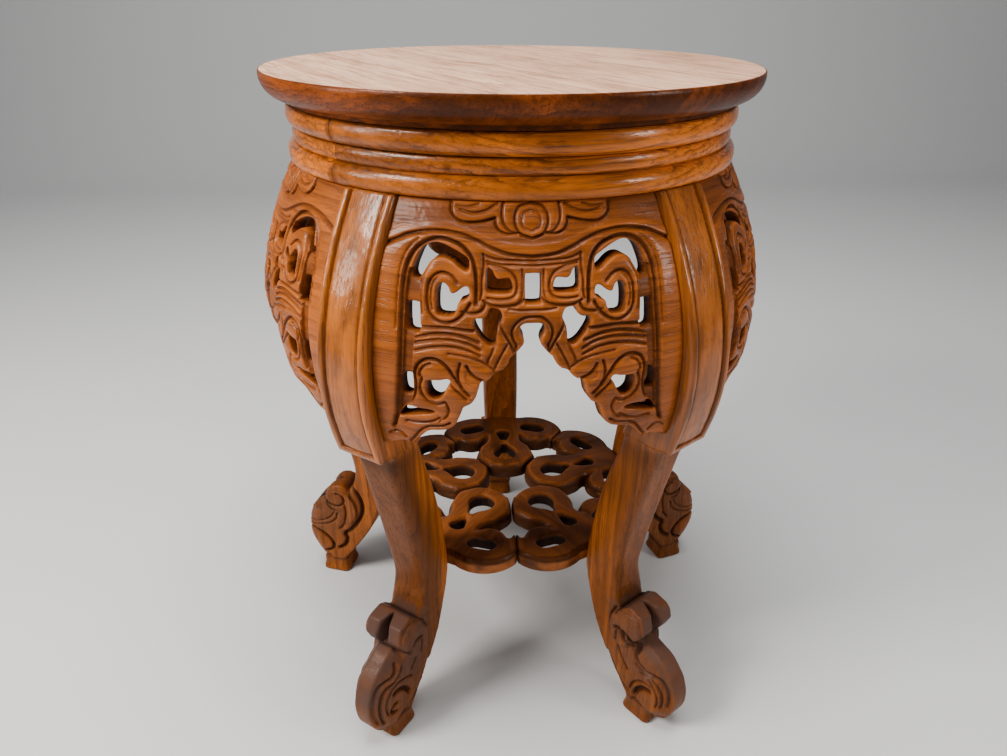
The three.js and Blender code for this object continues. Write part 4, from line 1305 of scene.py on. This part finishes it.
def board_attributes(points, number):
    """Grain, worn face and painted rim highlight of a board, whose own axes run across and along the grain.
    """
    x, y, z = points.T
    edge_band = ramp(TOP_Z - 0.2 - z, 0, 0.6)
    round_turn = np.degrees(np.arctan2(y, x)) + GRAIN_ANGLE
    # Painted highlight on the rim at one side
    lit = round_patch(round_turn, RIM_PAINTED_HIGHLIGHT_PLACE, 20)
    grain = np.stack([x + 37 * number, z - 300 * number, y + 90 * number], 1) * MM
    return {
        "grain": grain,
        "cut": np.zeros(len(x)),
        "wear_and_highlight": (1 - edge_band) * 0.25,
        "tone": 0.03 * (number % 2) + 0.5 * edge_band * lit,
    }


# Waist ring, with the place in degrees of its first joint, of its painted shade and of its painted
# highlight
WAIST_INNER = 119
WAIST_JOINT = -137
WAIST_PLAY = 0.12
WAIST_PAINTED_SHADE_PLACE = -111
WAIST_PAINTED_HIGHLIGHT_PLACE = -50
SWEEP_RADIUS = 140
KNOT = {"turn": -107.5, "height": 418.9, "radius": 2.0}
# Each bead: lower edge, widest place and upper edge, as radius and height over the waist's foot
BEADS = [
    ((147.6, 0.0), (149.5, 5.4), (144.4, 12.0)),
    ((144.4, 12.3), (146.0, 17.0), (143.6, 21.6)),
    ((143.6, 21.9), (149.1, 28.6), (147.2, 34.6)),
]


def waist_section():
    """Closed outline of the waist ring: radius and height."""
    out = [(WAIST_INNER, 0)]
    for low, widest, high in BEADS:
        for a in np.radians(np.linspace(0, 90, 10)):
            out.append((low[0] + (widest[0] - low[0]) * math.sin(a),
                        widest[1] + (low[1] - widest[1]) * math.cos(a)))
        for a in np.radians(np.linspace(9, 90, 10)):
            out.append((high[0] + (widest[0] - high[0]) * math.cos(a),
                        widest[1] + (high[1] - widest[1]) * math.sin(a)))
    out.append((147.0, WAIST_TOP - WAIST_FOOT))
    out.append((WAIST_INNER, WAIST_TOP - WAIST_FOOT))
    return [(radius, WAIST_FOOT + z) for radius, z in out]


def waist_tree(material):
    """Sweeps the waist section round a part of a circle."""
    tree, given, result = new_tree("turned ring piece", [
        ("Section", "NodeSocketObject", None), ("Radius", "NodeSocketFloat", 0.14),
        ("Start", "NodeSocketFloat", 0.0), ("Sweep", "NodeSocketFloat", 2.0),
        ("Steps", "NodeSocketInt", 120), ("Shift", "NodeSocketFloat", 0.0),
    ])
    section = add(tree, "GeometryNodeObjectInfo", Object=given.outputs["Section"])
    path = add(tree, "GeometryNodeCurveArc", Resolution=given.outputs["Steps"],
               Radius=given.outputs["Radius"], Start_Angle=given.outputs["Start"],
               Sweep_Angle=given.outputs["Sweep"])
    swept = add(tree, "GeometryNodeCurveToMesh", Curve=path.outputs["Curve"],
                Profile_Curve=section.outputs["Geometry"], Fill_Caps=True)
    shift = add(tree, "ShaderNodeCombineXYZ", Y=given.outputs["Shift"])
    placed = add(tree, "GeometryNodeTransform", Geometry=swept.outputs[0], Translation=shift.outputs[0])
    whole = add(tree, "GeometryNodeRealizeInstances", Geometry=placed.outputs[0])
    painted = add(tree, "GeometryNodeSetMaterial", Geometry=whole.outputs[0], Material=material)
    tree.links.new(painted.outputs[0], result.inputs[0])
    return tree


def section_curve():
    """The waist section as a closed flat curve, drawn about the path that it is swept along."""
    curve = bpy.data.curves.new("waist_section", "CURVE")
    curve.dimensions = "2D"
    spline = curve.splines.new("POLY")
    points = waist_section()
    spline.points.add(len(points) - 1)
    for point, (radius, z) in zip(spline.points, reversed(points)):
        point.co = ((radius - SWEEP_RADIUS) * MM, -z * MM, 0, 1)
    spline.use_cyclic_u = True
    thing = bpy.data.objects.new("waist_section", curve)
    bpy.context.scene.collection.objects.link(thing)
    return thing


# Settings
def length_setting(name, description, default):
    """A length in metres that a user may change."""
    return bpy.props.FloatProperty(name=name, description=description, default=default, unit="LENGTH")


def angle_setting(name, description, default):
    """An angle in radians that a user may change."""
    return bpy.props.FloatProperty(name=name, description=description, default=default, unit="ROTATION")


def colour_setting(name, description, default):
    """A colour of the wood that a user may change."""
    return bpy.props.FloatVectorProperty(name=name, description=description, default=default, size=4,
                                         subtype="COLOR")


class StandSizes(bpy.types.PropertyGroup):
    """Sizes of the carved pieces."""

    leg_width: length_setting("Leg width", "Width of a leg's belly", 0.0365)
    bead_width: length_setting("Bead width", "Width of the bead round the panel on a leg", 0.0058)
    relief_depth: length_setting("Carving depth", "Depth of the deepest cut on the aprons", 0.0023)
    relief_crown: length_setting("Carving crown", "How much the wood is rounded beside a cut", 0.0011)
    carving_pitch: length_setting("Carving pitch", "Size of the aprons' mesh faces", 0.00066)
    unevenness: length_setting("Unevenness", "How far the hand work strays from the drawing", 0.0022)


class StandColours(bpy.types.PropertyGroup):
    """Colours of the wood."""

    top: colour_setting("Top", "Dry wood of the top", (0.70, 0.43, 0.29, 1))
    rim: colour_setting("Waist", "Lacquered wood of the waist", (0.42, 0.104, 0.004, 1))
    edge: colour_setting("Edge", "Dark lacquered edge of the top", (0.095, 0.020, 0.0018, 1))
    leg: colour_setting("Leg", "Lacquered wood of the legs", (0.33, 0.086, 0.006, 1))
    apron: colour_setting("Apron", "Lacquered wood of the aprons", (0.31, 0.076, 0.007, 1))
    shelf: colour_setting("Shelf", "Dark wood of the shelf", (0.14, 0.040, 0.008, 1))


class StandStage(bpy.types.PropertyGroup):
    """Camera and light."""

    camera_height: length_setting("Camera height", "Height of the camera over the floor", 0.5053)
    camera_distance: length_setting("Camera distance", "How far in front of the origin the camera stands",
                                    0.55875)
    camera_side: length_setting("Camera side", "How far left of the origin the camera stands", 0.0408)
    camera_heading: angle_setting("Heading", "Turn of the camera to the right of straight ahead",
                                  math.radians(3.74))
    camera_tilt: angle_setting("Tilt", "How far the camera looks down", 0.4711)
    camera_roll: angle_setting("Roll", "Roll of the camera about its own axis", 0.0033)
    lens: bpy.props.FloatProperty(
        name="Lens", description="Focal length for a frame 36 mm wide", default=27.8)
    light: bpy.props.FloatProperty(
        name="Light", description="Strength of the main light in watts", default=17.0)


# Operators
class STAND_OT_top(bpy.types.Operator):
    """Make the four boards of the top"""

    bl_idname = "plant_stand.top"
    bl_label = "Top boards"

    def execute(self, context):
        colours = context.scene.stand_colours
        face = wood("top_wood", scaled(colours.top, 1.12), tuple(colours.top),
                    (0.26, 0.115, 0.055, 1), 0.5, coat=0.0, lines=0.75, pores=0.9, ring_width=4.5,
                    blotch=0.2)
        edge_wood = wood("edge_wood", scaled(colours.edge, 2.9), tuple(colours.edge),
                         scaled(colours.edge, 0.25), 0.32, coat=0.14, shine=0.08, lines=0.6, pores=0.5,
                         ring_width=9, blotch=0.25)
        joints = [board_joint(i) for i in range(1, BOARD_COUNT)]
        lows = [-TOP_RADIUS] + [joint + BOARD_PLAY for joint in joints]
        highs = [joint - BOARD_PLAY for joint in joints] + [TOP_RADIUS]
        for i in range(BOARD_COUNT):
            points, faces = board_mesh(lows[i], highs[i])
            placed = turned(points, GRAIN_ANGLE) + (0, AXIS_Y, 0)
            piece = make_object("board_%d" % (i + 1), placed, faces, board_attributes(points, i))
            piece.data.materials.append(face)
            piece.data.materials.append(edge_wood)
            for polygon in piece.data.polygons:
                on_top = polygon.normal.z > 0.7 and polygon.center.z > (TOP_Z - 0.05) * MM
                polygon.material_index = 0 if on_top else 1
            piece.data.set_sharp_from_angle(angle=math.radians(40))
            finish_piece(piece, "top", "top_board_%d" % (i + 1))
        return {"FINISHED"}


def board_joint(i):
    """Where the joint after board i lies across the grain, from the CAD boards."""
    points = read_points(frame["nodes"]["top_board_%d" % i].data) - (0, AXIS_Y, 0)
    return turned(points, -GRAIN_ANGLE)[:, 0].max() + GLUE_GAP / 2


class STAND_OT_waist(bpy.types.Operator):
    """Make the three pieces of the beaded waist ring"""

    bl_idname = "plant_stand.waist"
    bl_label = "Waist ring"

    def execute(self, context):
        colours = context.scene.stand_colours
        material = wood("waist_wood", scaled(colours.rim, 2.1), tuple(colours.rim),
                        scaled(colours.rim, 0.16), 0.26, coat=0.42, lines=0.8, pores=0.5,
                        ring_width=4.0, blotch=0.45)
        section = section_curve()
        tree = waist_tree(material)
        sweep = 360 / WAIST_COUNT
        play = math.degrees(WAIST_PLAY / TOP_RADIUS)
        for i in range(WAIST_COUNT):
            start = WAIST_JOINT + i * sweep + play
            piece = run_tree("waist_ring_%d" % (i + 1), tree, {
                "Section": section, "Radius": SWEEP_RADIUS * MM, "Start": math.radians(start),
                "Sweep": math.radians(sweep - 2 * play), "Steps": 150, "Shift": AXIS_Y * MM,
            })
            self.dress(piece, math.radians(start + sweep / 2), i)
            finish_piece(piece, "waist", "waist_piece_%d" % (i + 1))
        bpy.data.objects.remove(section)
        return {"FINISHED"}

    def dress(self, piece, middle, number):
        """Lays the grain straight along the piece and darkens the ends. It paints shade into the grooves,
        and a patch of shade and a patch of highlight round the ring.
        """
        points = read_points(piece.data)
        x = points[:, 0]
        y = points[:, 1] - AXIS_Y
        z = points[:, 2]
        along = -x * math.sin(middle) + y * math.cos(middle)
        out = x * math.cos(middle) + y * math.sin(middle)
        radius = np.hypot(x, y)
        grain = np.stack([z + 210 * number, out, along + 400 * number], 1) * MM
        # Painted shade in the grooves between the beads
        groove = ramp(145.6 - radius, 0, 1.9) * (z > WAIST_FOOT + 6) * (z < WAIST_TOP - 4)
        top = ramp(z, WAIST_TOP - 0.9, WAIST_TOP - 0.3)
        end = ramp(np.abs(along), 126.5, 128.2)
        write_layer(piece.data, "grain", grain)
        turn = np.degrees(np.arctan2(y, x))
        away = np.hypot(np.radians(turn - KNOT["turn"]) * radius, z - KNOT["height"])
        knot = 0.7 * bell(away, KNOT["radius"])
        write_layer(piece.data, "cut", np.clip(0.4 * groove + 0.5 * top + 0.5 * end + knot, 0, 1))
        write_layer(piece.data, "wear_and_highlight", 0.25 * ramp(radius, 147.5, 149.4))
        # Painted shade and painted highlight at two places round the ring
        write_layer(piece.data, "tone", 0.04 * number - 0.12 - 0.4 * round_patch(turn, WAIST_PAINTED_SHADE_PLACE, 13)
                    + 0.9 * round_patch(turn, WAIST_PAINTED_HIGHLIGHT_PLACE, 20))
        piece.data.shade_smooth()
        piece.data.set_sharp_from_angle(angle=math.radians(50))


class STAND_OT_legs(bpy.types.Operator):
    """Make the five carved legs"""

    bl_idname = "plant_stand.legs"
    bl_label = "Legs"

    def execute(self, context):
        sizes = context.scene.stand_sizes
        colours = context.scene.stand_colours
        material = wood("leg_wood", scaled(colours.leg, 1.6), tuple(colours.leg),
                        scaled(colours.leg, 0.2), 0.36, coat=0.5, lines=0.6, pores=0.6, ring_width=8.0,
                        blotch=0.6)
        tree = place_tree(material)
        shapes = {"front_left": leg_mesh(sizes, LEFT_FOOT), "front_right": leg_mesh(sizes, RIGHT_FOOT),
                  "side": leg_mesh(sizes, SIDE_FOOT)}
        points, faces, layers = shapes["side"]
        shapes["back"] = (tuck_toe(points), faces, layers)
        sources = {}
        for kind, (points, faces, layers) in shapes.items():
            sources[kind] = make_object("leg_source_" + kind, points, faces, layers, link=False)
        for i, name in enumerate(LEG_NAMES):
            kind = name if name in shapes else "side"
            piece = set_round("carved_leg_" + name, sources[kind], shapes[kind][2], tree, LEG_SET, i)
            finish_piece(piece, "leg", "leg_" + name)
        for source in sources.values():
            bpy.data.objects.remove(source)
        return {"FINISHED"}


class STAND_OT_aprons(bpy.types.Operator):
    """Make the five pierced and carved aprons"""

    bl_idname = "plant_stand.aprons"
    bl_label = "Aprons"

    def execute(self, context):
        sizes = context.scene.stand_sizes
        colours = context.scene.stand_colours
        material = wood("apron_wood", scaled(colours.apron, 1.5), tuple(colours.apron),
                        scaled(colours.apron, 0.25), 0.38, coat=0.2, lines=0.55, pores=0.5,
                        ring_width=6.5)
        points, faces, layers = apron_mesh(sizes)
        source = make_object("apron_source", points, faces, layers, link=False)
        tree = place_tree(material)
        for i, name in enumerate(APRON_NAMES):
            piece = set_round("carved_apron_" + name, source, layers, tree, APRON_SET, i)
            finish_piece(piece, "apron", "apron_" + name)
        bpy.data.objects.remove(source)
        return {"FINISHED"}


class STAND_OT_shelf(bpy.types.Operator):
    """Make the five petals of the shelf"""

    bl_idname = "plant_stand.shelf"
    bl_label = "Shelf"

    def execute(self, context):
        colours = context.scene.stand_colours
        material = wood("shelf_wood", scaled(colours.shelf, 2.4), tuple(colours.shelf),
                        scaled(colours.shelf, 0.25), 0.46, coat=0.1, shine=0.1, lines=0.55, pores=0.6,
                        ring_width=6.0)
        points, faces, layers = petal_mesh()
        source = make_object("petal_source", points, faces, layers, link=False)
        tree = place_tree(material)
        for i, name in enumerate(LEG_NAMES):
            piece = set_round("petal_" + name, source, layers, tree, PETAL_SET, i)
            finish_piece(piece, "shelf", "shelf_petal_" + name)
        bpy.data.objects.remove(source)
        return {"FINISHED"}


class STAND_OT_dowels(bpy.types.Operator):
    """Finish the dowels that lie hidden in the joints"""

    bl_idname = "plant_stand.dowels"
    bl_label = "Dowels"

    def execute(self, context):
        material = bpy.data.materials.new("dowel_wood")
        material.use_nodes = True
        tree = material.node_tree
        shader = tree.nodes["Principled BSDF"]
        where = add(tree, "ShaderNodeTexCoord").outputs["Object"]
        fibre = streaks(tree, where, 500, 40)
        shade = blend(tree, fibre, (0.42, 0.27, 0.15, 1), (0.62, 0.44, 0.27, 1))
        link_value(tree, shade, shader.inputs["Base Color"])
        link_value(tree, band(tree, fibre, 0.2, 0.8, 0.55, 0.75), shader.inputs["Roughness"])
        for name, node in frame["nodes"].items():
            if "dowel" in name:
                node.data.materials.clear()
                node.data.materials.append(material)
        return {"FINISHED"}


LAMP_TARGET = Vector((0, 0, 0.28))
FLOOR_FRONT = -3.0
FLOOR_BACK = 1.6
FLOOR_CURVE = 0.6
WALL_TOP = 3.5
FLOOR_WIDTH = 4.0


class STAND_OT_stage(bpy.types.Operator):
    """Set the camera, the floor and the light"""

    bl_idname = "plant_stand.stage"
    bl_label = "Stage"

    def execute(self, context):
        stage = context.scene.stand_stage
        data = bpy.data.cameras.new("camera")
        data.lens = stage.lens
        data.sensor_width = 36
        data.clip_start = 0.01
        camera = bpy.data.objects.new("camera", data)
        context.scene.collection.objects.link(camera)
        place = Matrix.Translation((-stage.camera_side, -stage.camera_distance, stage.camera_height))
        camera.matrix_world = (place @ Matrix.Rotation(-stage.camera_heading, 4, "Z")
                               @ Matrix.Rotation(math.radians(90) - stage.camera_tilt, 4, "X")
                               @ Matrix.Rotation(stage.camera_roll, 4, "Z"))
        context.scene.camera = camera
        self.floor(context)
        self.lights(context, stage.light)
        return {"FINISHED"}

    def floor(self, context):
        """A pale floor that curves up into a pale wall."""
        profile = [(FLOOR_FRONT, 0.0), (FLOOR_BACK, 0.0)]
        for a in np.radians(np.linspace(7.5, 90, 12)):
            profile.append((FLOOR_BACK + FLOOR_CURVE * math.sin(a), FLOOR_CURVE * (1 - math.cos(a))))
        profile.append((FLOOR_BACK + FLOOR_CURVE, WALL_TOP))
        points = [(x * FLOOR_WIDTH / 2, y, z) for y, z in profile for x in (-1, 1)]
        faces = [(2 * i, 2 * i + 1, 2 * i + 3, 2 * i + 2) for i in range(len(profile) - 1)]
        mesh = bpy.data.meshes.new("floor")
        mesh.from_pydata(points, [], faces)
        mesh.shade_smooth()
        material = bpy.data.materials.new("floor_paper")
        material.use_nodes = True
        tree = material.node_tree
        shader = tree.nodes["Principled BSDF"]
        shader.inputs["Roughness"].default_value = 0.7
        where = add(tree, "ShaderNodeTexCoord").outputs["Object"]
        cloud = add(tree, "ShaderNodeTexNoise", Vector=where, Scale=1.5, Detail=2.0)
        shade = blend(tree, cloud.outputs[0], (0.60, 0.61, 0.63, 1), (0.64, 0.65, 0.66, 1))
        link_value(tree, shade, shader.inputs["Base Color"])
        mesh.materials.append(material)
        floor = bpy.data.objects.new("floor", mesh)
        context.scene.collection.objects.link(floor)

    def lights(self, context, strength):
        """Soft lights at the upper left, low at the left, overhead and at the right."""
        world = bpy.data.worlds.new("studio")
        world.use_nodes = True
        world.node_tree.nodes["Background"].inputs[0].default_value = (0.95, 0.97, 1.0, 1)
        world.node_tree.nodes["Background"].inputs[1].default_value = 0.14
        context.scene.world = world
        # Name, place, size, share of the strength, colour
        lamps = [
            ("main", (-1.0, -0.5, 1.15), 0.45, 1.35, (1.0, 0.95, 0.88)),
            ("side", (-1.25, -0.32, 0.64), 0.3, 0.3, (1.0, 0.92, 0.82)),
            ("over", (-0.05, -0.15, 1.75), 0.9, 1.9, (1.0, 0.98, 0.95)),
            ("fill", (1.2, -0.75, 0.75), 0.35, 0.42, (1.0, 0.95, 0.88)),
        ]
        for name, place, size, share, colour in lamps:
            data = bpy.data.lights.new(name, "AREA")
            data.shape = "SQUARE"
            data.size = size
            data.energy = strength * share
            data.color = colour
            lamp = bpy.data.objects.new(name, data)
            context.scene.collection.objects.link(lamp)
            aim = LAMP_TARGET - Vector(place)
            lamp.matrix_world = (Matrix.Translation(place)
                                 @ aim.to_track_quat("-Z", "Y").to_matrix().to_4x4())


class STAND_PT_panel(bpy.types.Panel):
    """Lists the pieces of the stand"""

    bl_label = "Plant stand"
    bl_idname = "STAND_PT_panel"
    bl_space_type = "VIEW_3D"
    bl_region_type = "UI"
    bl_category = "Plant stand"

    def draw(self, context):
        """Draws a button for each piece, then the settings."""
        for operator in OPERATORS:
            self.layout.operator(operator.bl_idname)
        for group in (context.scene.stand_sizes, context.scene.stand_colours, context.scene.stand_stage):
            box = self.layout.box()
            for name in group.__annotations__:
                box.prop(group, name)


OPERATORS = [STAND_OT_stage, STAND_OT_top, STAND_OT_waist, STAND_OT_legs, STAND_OT_aprons,
             STAND_OT_shelf, STAND_OT_dowels]
GROUPS = {"stand_sizes": StandSizes, "stand_colours": StandColours, "stand_stage": StandStage}


def register():
    """Adds the settings, the operators and the panel to Blender."""
    for group in GROUPS.values():
        bpy.utils.register_class(group)
    for name, group in GROUPS.items():
        setattr(bpy.types.Scene, name, bpy.props.PointerProperty(type=group))
    for operator in OPERATORS:
        bpy.utils.register_class(operator)
    bpy.utils.register_class(STAND_PT_panel)


def unregister():
    """Takes them out again."""
    bpy.utils.unregister_class(STAND_PT_panel)
    for operator in reversed(OPERATORS):
        bpy.utils.unregister_class(operator)
    for name, group in GROUPS.items():
        delattr(bpy.types.Scene, name)
        bpy.utils.unregister_class(group)


def main():
    """Builds the stand and its stage."""
    register()
    bpy.ops.plant_stand.stage()
    bpy.ops.plant_stand.top()
    bpy.ops.plant_stand.waist()
    bpy.ops.plant_stand.legs()
    bpy.ops.plant_stand.aprons()
    bpy.ops.plant_stand.shelf()
    bpy.ops.plant_stand.dowels()


if __name__ == "__main__":
    main()
